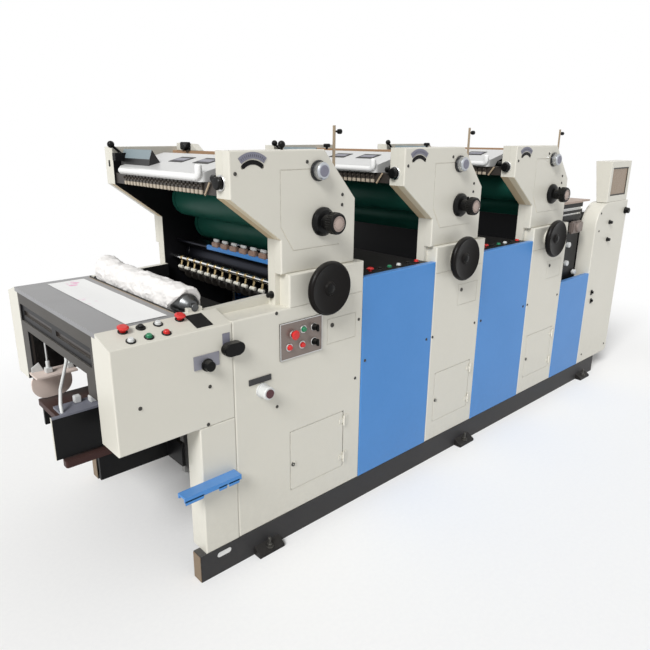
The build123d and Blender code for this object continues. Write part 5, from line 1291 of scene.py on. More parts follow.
@dataclass
class Fasteners(Assembly):
    """Screws of the covers, bolts of the feet, locks, and the trim of doors and rails."""

    screw: Profile = ((0.007425, 0), (0.007425, 0.0006), (0.0055, 0.0008), (0.0055, 0.0026),
                      (0.004125, 0.0034), (0.002475, 0.0034), (0.002475, 0.0016), (0, 0.0016))
    first_unit: tuple[Pair, ...] = ((0.209, 1.04), (0.205, 0.645), (0.672, 0.923), (0.658, 0.646))
    other_units: tuple[Pair, ...] = ((0.285, 0.717), (0.659, 0.717))
    upper: tuple[Pair, ...] = ((0.05, 1.572), (0.576, 1.471), (0.575, 1.43), (0.384, 1.605))
    blue: tuple[Pair, ...] = ((0.72, 0.716), (1.171, 0.716))
    box: tuple[Pair, ...] = ((-0.105, 0.822), (-0.12, 0.674), (-0.38, 0.82))
    feeder: tuple[Pair, ...] = ((0.06, 1.2), (0.06, 1.08), (0.06, 0.18), (0.43, 0.18))
    feet: tuple[float, ...] = (-1.289, 0.134, 1.624)
    bolt_out: float = 0.022
    bolt_z: float = 0.024
    bolt_r: float = 0.012
    bolt_start: float = 0.002
    bolt_height: float = 0.011
    washer: Profile = ((0.017, -0.004), (0.017, 0.002), (0, 0.002))
    stud: Profile = ((0.0065, 0.01), (0.0065, 0.04), (0.005, 0.0415), (0, 0.0415))
    doors: tuple[float, ...] = (-1.151, -0.159, 0.777)
    door_width: float = 0.31
    door_z: Pair = (0.228, 0.503)
    door_gap: float = 0.005
    door_slack: float = 0.001
    lip_depth: Pair = (0.0012, 0.008)
    lock: Profile = ((0.01, -0.001), (0.01, 0.002), (0.008, 0.004), (0.003, 0.004),
                     (0.003, 0.002), (0, 0.002))
    door_lock: Pair = (0.013, 0.3485)
    panel_lock: Pair = (0.509, 0.93)
    rail_start: float = -1.611
    rail_y: Pair = (0.475, 0.53)
    rail_height: float = 0.12
    rail_inset: float = 0.001
    rail_plate: float = 0.003
    rail_slot: Pair = (-1.501, 0.086)
    plug: Pair = (0.022, 0.0128)
    plug_sink: float = 0.008
    plug_thick: float = 0.006

    def build(self) -> None:
        """Makes the screws, bolts, locks and trim."""
        self.screws()
        self.bolts()
        self.door_trim()
        self.rail_trim()

    def screws(self) -> None:
        """Round heads with a sunk middle, on the covers of both sides."""
        spots = []
        first = PRESS.stations[0]
        for side in (-1, 1):
            low, high = PRESS.face(PRESS.half, side), PRESS.face(PRESS.upper, side)
            aim = (0.0, float(side), 0.0)
            for station in PRESS.stations:
                lower = self.first_unit if station == first else self.other_units
                spots += [((station + x, low, z), aim) for x, z in lower]
                if side < 0:
                    spots += [((station + x, high, z), aim) for x, z in self.upper]
                if station != PRESS.stations[-1]:
                    spots += [((station + x, low, z), aim) for x, z in self.blue]
            spots += [((first + x, low, z), aim) for x, z in self.box]
            spots += [((PRESS.feeder + x, low, z), aim) for x, z in self.feeder]
        head = Form().lathe(self.screw, ORIGIN, UP, sides=12)
        self.repeat[Repeat.SPOTS].make("cover_screws", head, Coat.SCREW, "black_paint", spots=spots,
                                       Spin=math.tau, Seed=4)

    def bolts(self) -> None:
        """Levelling bolts with washers on the feet."""
        spots = [((x, PRESS.face(PRESS.half + self.bolt_out, side), self.bolt_z), UP)
                 for x in self.feet for side in (-1, 1)]
        turns = [math.tau * n / 6 for n in range(6)]
        hexagon = [(self.bolt_r * math.cos(t), self.bolt_r * math.sin(t), self.bolt_start)
                   for t in turns]
        bolt = Form().prism(hexagon, (0, 0, self.bolt_height), edge=0.001)
        bolt.lathe(self.washer, ORIGIN, UP, sides=18)
        bolt.lathe(self.stud, ORIGIN, UP, sides=14)
        self.repeat[Repeat.SPOTS].make("foot_bolts", bolt, Coat.SCREW, "black_paint", spots=spots,
                                       Spin=1.0, Seed=2)

    def door_trim(self) -> None:
        """Locks on the doors and panels, and the lips that the doors close on."""
        front = PRESS.face(PRESS.half)
        y0, y1 = (front + depth for depth in self.lip_depth)
        (low, high), gap, slack = self.door_z, self.door_gap, self.door_slack
        panel_locks, lips = Form(), Form()
        for n, (station, x) in enumerate(zip(PRESS.stations, self.doors), 1):
            spot = (x + self.door_lock[0], front, self.door_lock[1])
            door_lock = Form().lathe(self.lock, spot, NEAR, sides=20)
            door_lock.fit(f"unit{n}_door_lock", Coat.SCREW, "black_paint", f"unit{n}_door")
            spot = (station + self.panel_lock[0], front, self.panel_lock[1])
            panel_locks.lathe(self.lock, spot, NEAR, sides=20)
            lips.block((x - gap, y0, low - gap), (x - slack, y1, high + gap), edge=0.0)
            for z0, z1 in ((low - gap, low - slack), (high + slack, high + gap)):
                lips.block((x - slack, y0, z0), (x + self.door_width, y1, z1), edge=0.0)
        panel_locks.fit("panel_locks", Coat.SCREW, "black_paint")
        lips.fit("door_lips", Coat.CREAM, "cream_paint")

    def rail_trim(self) -> None:
        """Plates that close the front ends of the rails, and the plugs in their slots."""
        ends, plugs = Form(), Form()
        (inner, outer), inset = self.rail_y, self.rail_inset
        x, z = self.rail_slot
        for side in (-1, 1):
            y = sorted((PRESS.face(inner + inset, side), PRESS.face(outer - inset, side)))
            ends.block((self.rail_start - self.rail_plate, y[0], inset),
                       (self.rail_start, y[1], self.rail_height - inset))
            start = PRESS.face(outer - self.plug_sink, side)
            plugs.prism([(x + a, start, z + b) for a, b in oval(*self.plug)],
                        (0, side * self.plug_thick, 0), edge=0.0012)
        ends.fit("rail_ends", Coat.RAIL_END, "frame_dark")
        plugs.fit("rail_plugs", Coat.LIP, "white_plastic")


@dataclass
class InkHead(Assembly):
    """Lips, ink keys, scale plates, covers and small fittings at the head of each unit."""

    lip: Pair = (0.011, 0.0973)
    lip_y: Pair = (0.333, -0.315)
    lip_r: float = 0.0138
    lip_bend: float = 0.018
    lip_rise: float = 0.022
    bend_steps: int = 8
    strut: tuple[Pair, ...] = ((-0.364, 1.534), (-0.356, 1.538), (-0.32, 1.49), (-0.328, 1.486))
    strut_thick: float = 0.004
    hood_x: Pair = (0.012, 0.243)
    hood_drop: Pair = (0.082, 0.026)
    slot_x: float = 0.154
    slots: tuple[float, ...] = (-0.15, 0.046)
    slot_half: Pair = (0.035, 0.056)
    slot_thick: float = 0.0022
    slot_sink: float = 0.0004
    window_half: Pair = (0.016, 0.044)
    window_thick: float = 0.003
    keys: int = 22
    key_step: float = 0.03
    key_size: Point = (0.008, 0.02, 0.054)
    key_x: float = 0.03
    key_top: float = 0.106
    key_screw: Profile = ((0.005, 0), (0.005, 0.006), (0.0035, 0.009), (0, 0.009))
    key_screw_drop: float = 0.42
    scale: Pair = (0.126, 0.107)
    scale_radii: Pair = (0.079, 0.102)
    scale_sweep: float = 38.0
    scale_thick: float = 0.002
    mark: Box = ((-0.005, -0.0004, -0.0006), (0.004, 0.0004, 0.0006))
    mark_lift: float = 0.0022
    mark_inset: float = 5.0
    marks: int = 13
    arc_radii: Pair = (0.0585, 0.0745)
    arc_sweep: float = 41.0
    arc_sink: float = 0.004
    arc_lift: float = 0.0012
    wedge: tuple[Pair, ...] = ((0.044, 0.0745), (0.05, 0.047), (0.064, 0.007), (0.1, 0.061))
    wedge_y: Pair = (0.135, 0.402)
    tie: Pair = (0.335, 0.37)
    tie_outline: tuple[Pair, ...] = ((0.215, 0.018), (0.262, -0.012), (0.405, -0.017),
                                     (0.405, 0.018))
    clamp: Box = ((-0.013, 0.275, -0.014), (0.001, 0.352, 0.021))
    clamp_screw: Profile = ((0.015, 0), (0.015, 0.01), (0.012, 0.014), (0, 0.014))
    clamp_spot: Point = (-0.012, 0.297, -0.002)
    knob_y: float = -0.449
    top_knobs: tuple[float, ...] = (0.526, 0.229)
    top_knob: Profile = ((0.005, -0.002), (0.005, 0.006), (0.013, 0.007), (0.014, 0.009),
                         (0.014, 0.017), (0.011, 0.02), (0, 0.02))
    post: Pair = (0.59, 1.717)
    post_knob: Profile = ((0.004, -0.02), (0.004, -0.004), (0.009, -0.002), (0.01, 0.002),
                          (0.01, 0.012), (0.007, 0.015), (0, 0.015))
    nose: Point = (0.026, -0.436, 1.539)
    nose_disc: Profile = ((0.03, -0.001), (0.03, 0.003), (0.028, 0.005), (0, 0.005))
    nose_knob: Profile = ((0.014, 0.004), (0.014, 0.007), (0.022, 0.009), (0.0235, 0.012),
                          (0.0235, 0.019), (0.02, 0.023), (0, 0.024))
    far_latch_x: Pair = (0.0245, 0.027)
    far_latch_y: Pair = (0.458, 0.474)
    far_latch_drop: Pair = (0.088, 0.06)

    def build(self) -> None:
        """Makes the fittings of all three heads."""
        for unit in PRESS.units:
            self.comb(unit)
            self.ticks(unit)
        self.lips()
        self.struts()
        self.hood_slots()
        self.scales()
        self.wedges()
        self.tie_block()
        self.knobs()

    def comb(self, unit: int) -> None:
        """Row of ink keys under the lip of one hood.

        Args:
            unit: Number of the unit.
        """
        x, y, z = self.key_size
        base = [(-x / 2, -y / 2, 0), (x / 2, -y / 2, 0), (x / 2, y / 2, 0), (-x / 2, y / 2, 0)]
        key = Form().prism(base, (0, 0, -z), edge=0.0015)
        key.lathe(self.key_screw, (-x / 2, 0, -z * self.key_screw_drop), AHEAD, sides=12)
        start = (PRESS.start(unit) + self.key_x, PRESS.mid - self.key_step * (self.keys - 1) / 2,
                 PRESS.top - self.key_top)
        self.repeat[Repeat.LINE].make(f"unit{unit}_ink_keys", key, Coat.KEYS, "wheel_cream",
                                      Count=self.keys, Start=start, Step=(0.0, self.key_step, 0.0),
                                      Spin=0.0, Seed=unit)

    def ticks(self, unit: int) -> None:
        """Marks on one scale plate.

        Args:
            unit: Number of the unit.
        """
        sweep = math.radians(self.scale_sweep - self.mark_inset) * 2
        centre = (PRESS.start(unit) + self.scale[0], PRESS.face(PRESS.upper) - self.mark_lift,
                  PRESS.top - self.scale[1])
        mark = Form().block(*self.mark, edge=0.0002)
        self.repeat[Repeat.RING].make(f"unit{unit}_scale_marks", mark, Coat.BLACK, "black_paint",
                                      Count=self.marks, Centre=centre,
                                      Radius=sum(self.scale_radii) / 2,
                                      First=math.pi / 2 - sweep / 2,
                                      Step_Angle=sweep / (self.marks - 1))

    def lips(self) -> None:
        """Round white lip along the front of each hood, turned up at the operator's end."""
        form = Form()
        (far, near), bend = self.lip_y, self.lip_bend
        z = PRESS.top - self.lip[1]
        turns = [math.pi / 2 * n / self.bend_steps for n in range(self.bend_steps + 1)]
        for station in PRESS.stations:
            x = station + self.lip[0]
            path = [(x, far, z), (x, (far + near) / 2, z)]
            path += [(x, near + bend * (1 - math.sin(t)),
                      z + bend * (1 - math.cos(t))) for t in turns]
            path.append((x, near, z + bend + self.lip_rise))
            form.tube(path, self.lip_r, sides=20)
        form.fit("hood_lips", Coat.LIP, "white_plastic", smooth=50.0)

    def struts(self) -> None:
        """Slanted strut at the operator's end of each row of keys."""
        form = Form()
        for station in PRESS.stations:
            form.prism([(station + self.key_x, y, z) for y, z in self.strut],
                       (-self.strut_thick, 0, 0), edge=0.0008)
        form.fit("hood_struts", Coat.TAN, "wheel_cream")

    def hood_rise(self, x: float) -> float:
        """Height of a hood's sloping top at a distance behind the start of its unit."""
        (x0, x1), (low, high) = self.hood_x, self.hood_drop
        return PRESS.top - low + (low - high) * (x - x0) / (x1 - x0)

    def hood_plate(self, form: Form, spot: Pair, half: Pair, thick: float) -> None:
        """Lays one flat plate on the sloping top of a hood.

        Args:
            form: Form that takes the plate.
            spot: X where the unit starts, and Y of the plate's middle.
            half: Half its size along X and Y.
            thick: Thickness of the plate.
        """
        outline = []
        for sx, sy in ((-1, -1), (1, -1), (1, 1), (-1, 1)):
            x = self.slot_x + sx * half[0]
            outline.append((spot[0] + x, spot[1] + sy * half[1],
                            self.hood_rise(x) - self.slot_sink))
        form.prism(outline, (0, 0, thick), edge=0.0006)

    def hood_slots(self) -> None:
        """Dark plates with grey windows over the slots in the sloping top of each hood."""
        frames, windows = Form(), Form()
        for station in PRESS.stations:
            for y in self.slots:
                self.hood_plate(frames, (station, y), self.slot_half, self.slot_thick)
                self.hood_plate(windows, (station, y), self.window_half, self.window_thick)
        frames.fit("hood_slots", Coat.BLACK, "black_paint")
        windows.fit("hood_windows", Coat.SCALE, "grey_board")

    def scales(self) -> None:
        """Scale plate and black arc on each upper cover."""
        plates, arcs = Form(), Form()
        front = PRESS.face(PRESS.upper)
        for station in PRESS.stations:
            centre = (station + self.scale[0], PRESS.top - self.scale[1])
            plates.band(centre, (front, front - self.scale_thick), self.scale_radii,
                        (90 - self.scale_sweep, 90 + self.scale_sweep))
            arcs.band(centre, (front + self.arc_sink, front - self.arc_lift), self.arc_radii,
                      (90 - self.arc_sweep, 90 + self.arc_sweep))
        plates.fit("scale_plates", Coat.SCALE, "grey_board")
        arcs.fit("scale_arcs", Coat.BLACK, "black_paint")

    def wedges(self) -> None:
        """Sloping covers on the drive half of each hood."""
        form = Form()
        y0, y1 = self.wedge_y
        for station in PRESS.stations:
            form.prism([(station + x, y0, PRESS.top - drop) for x, drop in self.wedge],
                       (0, y1 - y0, 0), edge=0.0015)
        form.fit("hood_wedges", Coat.WEDGE, "grey_board")

    def tie_block(self) -> None:
        """Block and black clamp on the tie bar of unit 1."""
        x0, x1 = (PRESS.stations[0] + x for x in self.tie)
        block = Form().prism([(x0, y, PRESS.top - drop) for y, drop in self.tie_outline],
                             (x1 - x0, 0, 0), edge=0.002)
        block.fit("tie_block", Coat.CREAM, "cream_paint")
        low, high, spot = ((x0 + x, y, PRESS.top + z) for x, y, z in (*self.clamp, self.clamp_spot))
        clamp = Form().block(low, high, edge=0.003).lathe(self.clamp_screw, spot, AHEAD, sides=24)
        clamp.fit("tie_clamp", Coat.BLACK_KNOB, "black_plastic")

    def knobs(self) -> None:
        """Knobs with bright discs on the noses, and the small knobs on the frames and posts."""
        discs, knobs = Form(), Form()
        (x0, x1), (y0, y1), (z0, z1) = self.far_latch_x, self.far_latch_y, self.far_latch_drop
        for station in PRESS.stations:
            spot = (station + self.nose[0], self.nose[1], self.nose[2])
            discs.lathe(self.nose_disc, spot, AHEAD, sides=36)
            knobs.lathe(self.nose_knob, spot, AHEAD, sides=30)
            knobs.lathe(self.post_knob, (station + self.post[0], self.knob_y, self.post[1]), BACK,
                        sides=18)
            knobs.block((station + x0, PRESS.face(y0, 1), PRESS.top - z0),
                        (station + x1, PRESS.face(y1, 1), PRESS.top - z1))
        for station, lead in zip(PRESS.stations, self.top_knobs):
            knobs.lathe(self.top_knob, (station + lead, self.knob_y, PRESS.top), UP, sides=20)
        discs.fit("nose_discs", Coat.STEEL, "steel")
        knobs.fit("head_knobs", Coat.BLACK_KNOB, "black_plastic")


@dataclass
class HandParts(Assembly):
    """Grips, faces and caps on the handwheels and knobs, which turn with them."""

    wheel: Pair = (0.442, 1.112)
    boss_face: float = 0.592
    cap: Profile = ((0.019, -0.001), (0.019, 0.0015), (0.013, 0.003), (0.011, 0.0045), (0, 0.005))
    water: Pair = (0.465, 1.371)
    water_face: float = 0.608
    water_r: float = 0.042
    water_ribs: int = 30
    water_rib: tuple[Point, ...] = ((-0.0012, 0.01, -0.0024), (0.0017, 0.01, 0),
                                    (-0.0012, 0.01, 0.0024))
    water_rib_length: float = 0.026
    rim: Profile = ((0.031, 0.0), (0.0352, 0.0), (0.0352, 0.0022), (0.034, 0.0032),
                    (0.0318, 0.0032), (0.031, 0.0024), (0.031, 0.0))
    water_disc: Profile = ((0.0308, 0.0), (0.0308, 0.001), (0.029, 0.002), (0.01, 0.002),
                           (0.009, 0.0032), (0, 0.0032))
    disc_sink: float = 0.0035
    mark: Box = ((-0.0035, -0.0004, -0.0005), (0.0035, 0.0004, 0.0005))
    marks: int = 24
    mark_r: float = 0.024
    mark_sink: float = 0.0014
    peg: Profile = ((0.006, 0), (0.006, 0.012), (0.0045, 0.016), (0, 0.016))
    peg_sink: float = 0.052
    peg_rise: float = 0.028
    ink: Pair = (0.44, 1.5703)
    ink_face: float = 0.548
    ink_r: float = 0.033
    ink_ribs: int = 40
    ink_rib: tuple[Point, ...] = ((-0.001, 0.006, -0.0016), (0.0013, 0.006, 0),
                                  (-0.001, 0.006, 0.0016))
    ink_rib_length: float = 0.022
    ink_disc: Profile = ((0.0225, 0), (0.0225, 0.0008), (0.021, 0.0014), (0.012, 0.0014),
                         (0.011, 0.0006), (0, 0.0006))

    def build(self) -> None:
        """Makes the hand parts of all three units."""
        for unit in PRESS.units:
            self.wheel_cap(unit)
            self.water_parts(unit)
            self.ink_parts(unit)

    @staticmethod
    def ring(count: int, centre: Point, radius: float) -> dict[str, Any]:
        """Inputs that set copies of a shape evenly round a whole turn."""
        return {"Count": count, "Centre": centre, "Radius": radius, "First": 0.0,
                "Step_Angle": math.tau / count}

    def wheel_cap(self, unit: int) -> None:
        """Cap at the middle of a handwheel.

        Args:
            unit: Number of the unit.
        """
        spot = (PRESS.start(unit) + self.wheel[0], PRESS.face(self.boss_face), self.wheel[1])
        cap = Form().lathe(self.cap, spot, NEAR, sides=28)
        cap.fit(f"unit{unit}_wheel_cap", Coat.BLACK_KNOB, "black_plastic", f"unit{unit}_drive")

    def water_parts(self, unit: int) -> None:
        """Ribs, bright rim, face, marks and peg of a water knob.

        Args:
            unit: Number of the unit.
        """
        body, repeater = f"unit{unit}_water_knob", self.repeat[Repeat.RING]
        x, y, z = PRESS.start(unit) + self.water[0], PRESS.face(self.water_face), self.water[1]
        rib = Form().prism(self.water_rib, (0, self.water_rib_length, 0))
        repeater.make(f"unit{unit}_water_ribs", rib, Coat.BLACK_KNOB, "black_plastic", body,
                      **self.ring(self.water_ribs, (x, y, z), self.water_r))
        rim = Form().lathe(self.rim, (x, y + self.disc_sink, z), NEAR, sides=44)
        rim.fit(f"unit{unit}_water_rim", Coat.STEEL, "steel", body)
        disc = Form().lathe(self.water_disc, (x, y + self.disc_sink, z), NEAR, sides=40)
        disc.fit(f"unit{unit}_water_face", Coat.FACE, "wheel_cream", body)
        mark = Form().block(*self.mark, edge=0.0002)
        repeater.make(f"unit{unit}_water_marks", mark, Coat.BLACK_KNOB, "black_plastic", body,
                      **self.ring(self.marks, (x, y + self.mark_sink, z), self.mark_r))
        peg = Form().lathe(self.peg, (x, y + self.peg_sink, z + self.peg_rise), UP, sides=14)
        peg.fit(f"unit{unit}_water_peg", Coat.BLACK_KNOB, "black_plastic", body)

    def ink_parts(self, unit: int) -> None:
        """Ribs and face of an ink knob.

        Args:
            unit: Number of the unit.
        """
        body = f"unit{unit}_ink_knob"
        spot = (PRESS.start(unit) + self.ink[0], PRESS.face(self.ink_face), self.ink[1])
        rib = Form().prism(self.ink_rib, (0, self.ink_rib_length, 0))
        self.repeat[Repeat.RING].make(f"unit{unit}_ink_ribs", rib, Coat.STEEL, "steel", body,
                                      **self.ring(self.ink_ribs, spot, self.ink_r))
        disc = Form().lathe(self.ink_disc, spot, NEAR, sides=36)
        disc.fit(f"unit{unit}_ink_face", Coat.SCALE, "grey_board", body)


@dataclass
class Throat(Assembly):
    """Wash bar, its blocks, and the grippers on the bright bar of unit 1."""

    bar: Pair = (0.33, 1.196)
    bar_y: Pair = (-0.407, 0.16)
    bar_size: Pair = (0.016, 0.022)
    bar_end: float = 0.012
    shaft_end: float = 0.443
    shaft_sink: float = 0.004
    collar: Profile = ((0.0095, 0), (0.0095, 0.012), (0.007, 0.013))
    shaft_r: float = 0.007
    blocks: int = 7
    block_step: float = 0.072
    block_start: float = 0.06
    block: Box = ((-0.01, -0.025, 0.008), (0.01, 0.025, 0.031))
    cap: Box = ((-0.004, -0.021, 0.033), (0.006, 0.018, 0.046))
    cap_stem: Box = ((-0.002, -0.006, 0.029), (0.004, 0.006, 0.034))
    fingers: int = 12
    finger_step: float = 0.06
    chrome: Pair = (0.3002, 1.1194)
    spring: Profile = ((0.01, -0.007), (0.0122, -0.006), (0.0122, 0.006), (0.01, 0.007))
    leaf: tuple[Pair, ...] = ((-0.005, -0.008), (0.005, -0.008), (-0.01, -0.04), (-0.013, -0.04))
    leaf_half: float = 0.006
    roller: Profile = ((0.006, -0.017), (0.0085, -0.015), (0.0085, -0.003), (0.006, -0.002),
                       (0.006, 0.002), (0.0085, 0.003), (0.0085, 0.015), (0.006, 0.017))
    roller_spot: Point = (-0.012, 0.0, -0.042)

    def build(self) -> None:
        """Makes the wash bar with its blocks, and the grippers."""
        self.wash_bar()
        self.grippers()

    def wash_bar(self) -> None:
        """Blue bar across the throat, the shaft at its far end, and two rows of blocks."""
        x, z = PRESS.stations[0] + self.bar[0], self.bar[1]
        (w, h), (y0, y1) = self.bar_size, self.bar_y
        bar = Form().block((x - w / 2, y0, z - h / 2), (x + w / 2, y1, z + h / 2), edge=0.003)
        bar.block((x - w, y0, z - h), (x + w, y0 + self.bar_end, z + h), edge=0.003)
        bar.fit("wash_bar", Coat.BLUE, "blue_paint")
        end = (self.shaft_r, self.shaft_end - y1 + self.shaft_sink)
        shaft = Form().lathe((*self.collar, end), (x, y1 - self.shaft_sink, z), FAR, sides=18)
        shaft.fit("wash_shaft", Coat.DARK_STEEL, "steel")
        row = {"Count": self.blocks, "Start": (x, y0 + self.block_start, z),
               "Step": (0.0, self.block_step, 0.0), "Spin": 0.0}
        repeater = self.repeat[Repeat.LINE]
        block = Form().block(*self.block, edge=0.003)
        repeater.make("wash_blocks", block, Coat.BLOCKS, "brown_panel", **row, Seed=1)
        cap = Form().block(*self.cap, edge=0.002).block(*self.cap_stem, edge=0.0)
        repeater.make("wash_caps", cap, Coat.WHITE, "white_plastic", **row, Seed=6)

    def grippers(self) -> None:
        """Brass springs under the bright bar, and the pale sheet rollers that they press down."""
        x, z = PRESS.stations[0] + self.chrome[0], self.chrome[1]
        row = {"Count": self.fingers, "Step": (0.0, self.finger_step, 0.0), "Spin": 0.0,
               "Start": (x, PRESS.mid - self.finger_step * (self.fingers - 1) / 2, z)}
        spring = Form().lathe(self.spring, ORIGIN, FAR, sides=18)
        spring.prism([(a, -self.leaf_half, b) for a, b in self.leaf], (0, 2 * self.leaf_half, 0),
                     edge=0.0008)
        repeater = self.repeat[Repeat.LINE]
        repeater.make("gripper_springs", spring, Coat.BRASS, "wheel_cream", **row, Seed=3)
        roller = Form().lathe(self.roller, self.roller_spot, FAR, sides=18)
        repeater.make("sheet_rollers", roller, Coat.CREAM, "wheel_cream", **row, Seed=5)


@dataclass
class Delivery(Assembly):
    """Paper, wrapped roller, plates, jogger fittings and foot step of the delivery."""

    sheet_x: Pair = (-1.772, -1.612)
    sheet_y: Pair = (-0.378, 0.391)
    sheet_grid: tuple[int, int] = (12, 60)
    sheet_lift: float = 0.0016
    sheet_wave: float = 0.0011
    sheet_ripple: Pair = (14.0, 9.0)
    sheet_shift: float = 2.0
    sheet_least: float = 0.0004
    roll: Pair = (-1.508, 1.093)
    roll_r: float = 0.0575
    roll_half: float = 0.372
    roll_cut: float = 0.085
    cut_side: float = 3.9
    rings: int = 190
    sides: int = 96
    folds: float = 0.0065
    ridges: float = 0.0034
    sags: float = 0.0046
    slack: float = 0.007
    bulge: float = 0.016
    flare: float = 0.018
    flare_run: float = 0.16
    crease_scale: Pair = (1.3, 13.0)
    fold_scale: float = 1.1
    ridge_scale: float = 2.7
    ridge_shift: Point = (4.0, 0.0, 1.0)
    sag_scale: float = 4.0
    sag_shift: float = 7.0
    crest_turn: float = 0.2
    crest_power: float = 1.5
    tuck: float = 0.009
    tuck_run: float = 0.014
    roll_end: Profile = ((0.04, -0.13), (0.0425, -0.11), (0.0425, -0.002), (0.024, 0.024),
                         (0.02, 0.0265), (0.0148, 0.0275), (0.0148, 0.044), (0.0135, 0.0455),
                         (0, 0.0455))
    desk_y: Pair = (0.53, 0.423)
    desk_drop: float = 0.034
    desk_plate_x: Pair = (0.33, 0.398)
    desk_plate_out: Pair = (0.516, 0.436)
    desk_plate_thick: float = 0.003
    small_plate_x: Pair = (-0.044, -0.012)
    small_plate_z: Pair = (0.966, 1.012)
    small_plate_thick: float = 0.002
    grip: Pair = (-0.008, 0.099)
    grip_size: Pair = (0.02, 0.0248)
    grip_depth: float = 0.032
    lip_half: float = 0.388
    lip_sink: float = 0.001
    strip_x: Pair = (-1.5785, -1.5695)
    strip_rise: float = 0.004
    lip_x: Pair = (-1.582, -1.5786)
    lip_rise: float = 0.002
    jogger_x: Pair = (0.04, 0.13)
    jogger_out: float = 0.24
    jogger_tops: Pair = (0.764, 0.73)
    clamp_half: float = 0.014
    clamp_height: float = 0.022
    stem: Profile = ((0.0085, 0), (0.0085, 0.03), (0.007, 0.032), (0, 0.032))
    stem_rise: float = 0.02
    holder_half: Pair = (0.015, 0.01)
    holder_z: Pair = (0.926, 0.954)
    spare_clamp: Box = ((-1.914, -0.206, 0.7638), (-1.89, -0.182, 0.79))
    rod: tuple[Point, ...] = ((-1.884, -0.075, 0.908), (-1.886, -0.078, 0.885),
                              (-1.905, -0.105, 0.862), (-1.955, -0.19, 0.826),
                              (-1.975, -0.235, 0.79), (-1.978, -0.25, 0.762))
    rod_r: float = 0.006
    flag: tuple[Pair, ...] = ((-1.912, 0.7), (-1.912, 0.752), (-1.88, 0.77), (-1.862, 0.73))
    flag_y: float = 0.292
    flag_thick: float = 0.005
    step_x: Pair = (-1.69, -1.44)
    step_face: float = 0.58
    step_z: Pair = (0.412, 0.43)
    step_slope: float = 0.003
    step_thick: float = 0.003
    tabs: tuple[Pair, ...] = ((0.0, 0.33), (0.58, 0.74), (0.76, 0.97))

    def build(self) -> None:
        """Makes the delivery's pieces."""
        self.sheet()
        self.wrapped_roll()
        self.roll_ends()
        self.plates()
        self.table_edge()
        self.jogger_fittings()
        self.step_tabs()

    def sheet(self) -> None:
        """A narrow printed sheet lying on the table, slightly wavy."""
        form = Form()
        (x0, x1), (y0, y1) = self.sheet_x, self.sheet_y
        (rows, columns), (ripple_x, ripple_y) = self.sheet_grid, self.sheet_ripple
        grid = []
        for i in range(rows + 1):
            x = x0 + (x1 - x0) * i / rows
            line = []
            for j in range(columns + 1):
                y = y0 + (y1 - y0) * j / columns
                wave = noise.noise(Vector((x * ripple_x, y * ripple_y, self.sheet_shift)))
                lift = max(self.sheet_lift + self.sheet_wave * wave, self.sheet_least)
                line.append(form.mesh.verts.new((x, y, PRESS.table + lift)))
            grid.append(line)
        for i in range(rows):
            for j in range(columns):
                form.mesh.faces.new((grid[i][j], grid[i + 1][j], grid[i + 1][j + 1],
                                     grid[i][j + 1]))
        made = form.fit("printed_sheet", Coat.SHEET, "paper_wrap", smooth=80.0)

    def crumple(self, y: float, angle: float) -> float:
        """Radius of the crumpled paper at one point of the roll.

        Args:
            y: Place along the roll.
            angle: Angle round the roll, from +X.

        Returns:
            The radius.
        """
        wide, long = self.crease_scale
        spot = Vector((math.cos(angle) * wide, y * long, math.sin(angle) * wide))
        fold = 1.0 - abs(noise.noise(spot * self.fold_scale))
        ridge = 1.0 - abs(noise.noise(spot * self.ridge_scale + Vector(self.ridge_shift)))
        slow = Vector((y * self.sag_scale, self.sag_shift, math.sin(angle)))
        sag = 0.5 + 0.5 * noise.noise(slow)
        radius = (self.roll_r - self.slack + self.folds * fold ** 3 + self.ridges * ridge ** 4
                  - self.sags * sag)
        along = y - PRESS.mid
        spread = max(0.0, (along - self.roll_half + self.flare_run) / self.flare_run)
        crest = max(0.0, math.sin(angle + self.crest_turn)) ** self.crest_power
        radius += (self.bulge + self.flare * spread ** 2) * crest
        end = self.roll_half - abs(along)
        return radius - self.tuck * max(0.0, 1.0 - end / self.tuck_run) ** 2

    def wrapped_roll(self) -> None:
        """The delivery roller wrapped in crumpled paper."""
        form = Form()
        x, z = self.roll
        turns = [math.tau * m / self.sides for m in range(self.sides)]
        loops = []
        for n in range(self.rings + 1):
            loop = []
            for turn in turns:
                cut = self.roll_cut * max(0.0, math.cos(turn - self.cut_side))
                y = PRESS.mid - self.roll_half + cut + (2 * self.roll_half - cut) * n / self.rings
                r = self.crumple(y, turn)
                loop.append(form.mesh.verts.new((x + r * math.cos(turn), y,
                                                 z + r * math.sin(turn))))
            loops.append(loop)
        made = form.loft(loops).fit("wrapped_roll", Coat.WRAP, "paper_wrap", smooth=60.0)
        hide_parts("delivery_roller")

    def roll_ends(self) -> None:
        """Tapered steel ends of the wrapped roller, with their pins."""
        form = Form()
        x, z = self.roll
        for side in (-1, 1):
            form.lathe(self.roll_end, (x, PRESS.face(self.roll_half, side), z), (0, side, 0),
                       sides=40)
        form.fit("roll_ends", Coat.END_STEEL, "steel")

    def desk_rise(self, out: float) -> float:
        """Height of the sloping desk at a distance from the mid-plane."""
        outer, inner = self.desk_y
        return PRESS.table - self.desk_drop * (out - inner) / (outer - inner)

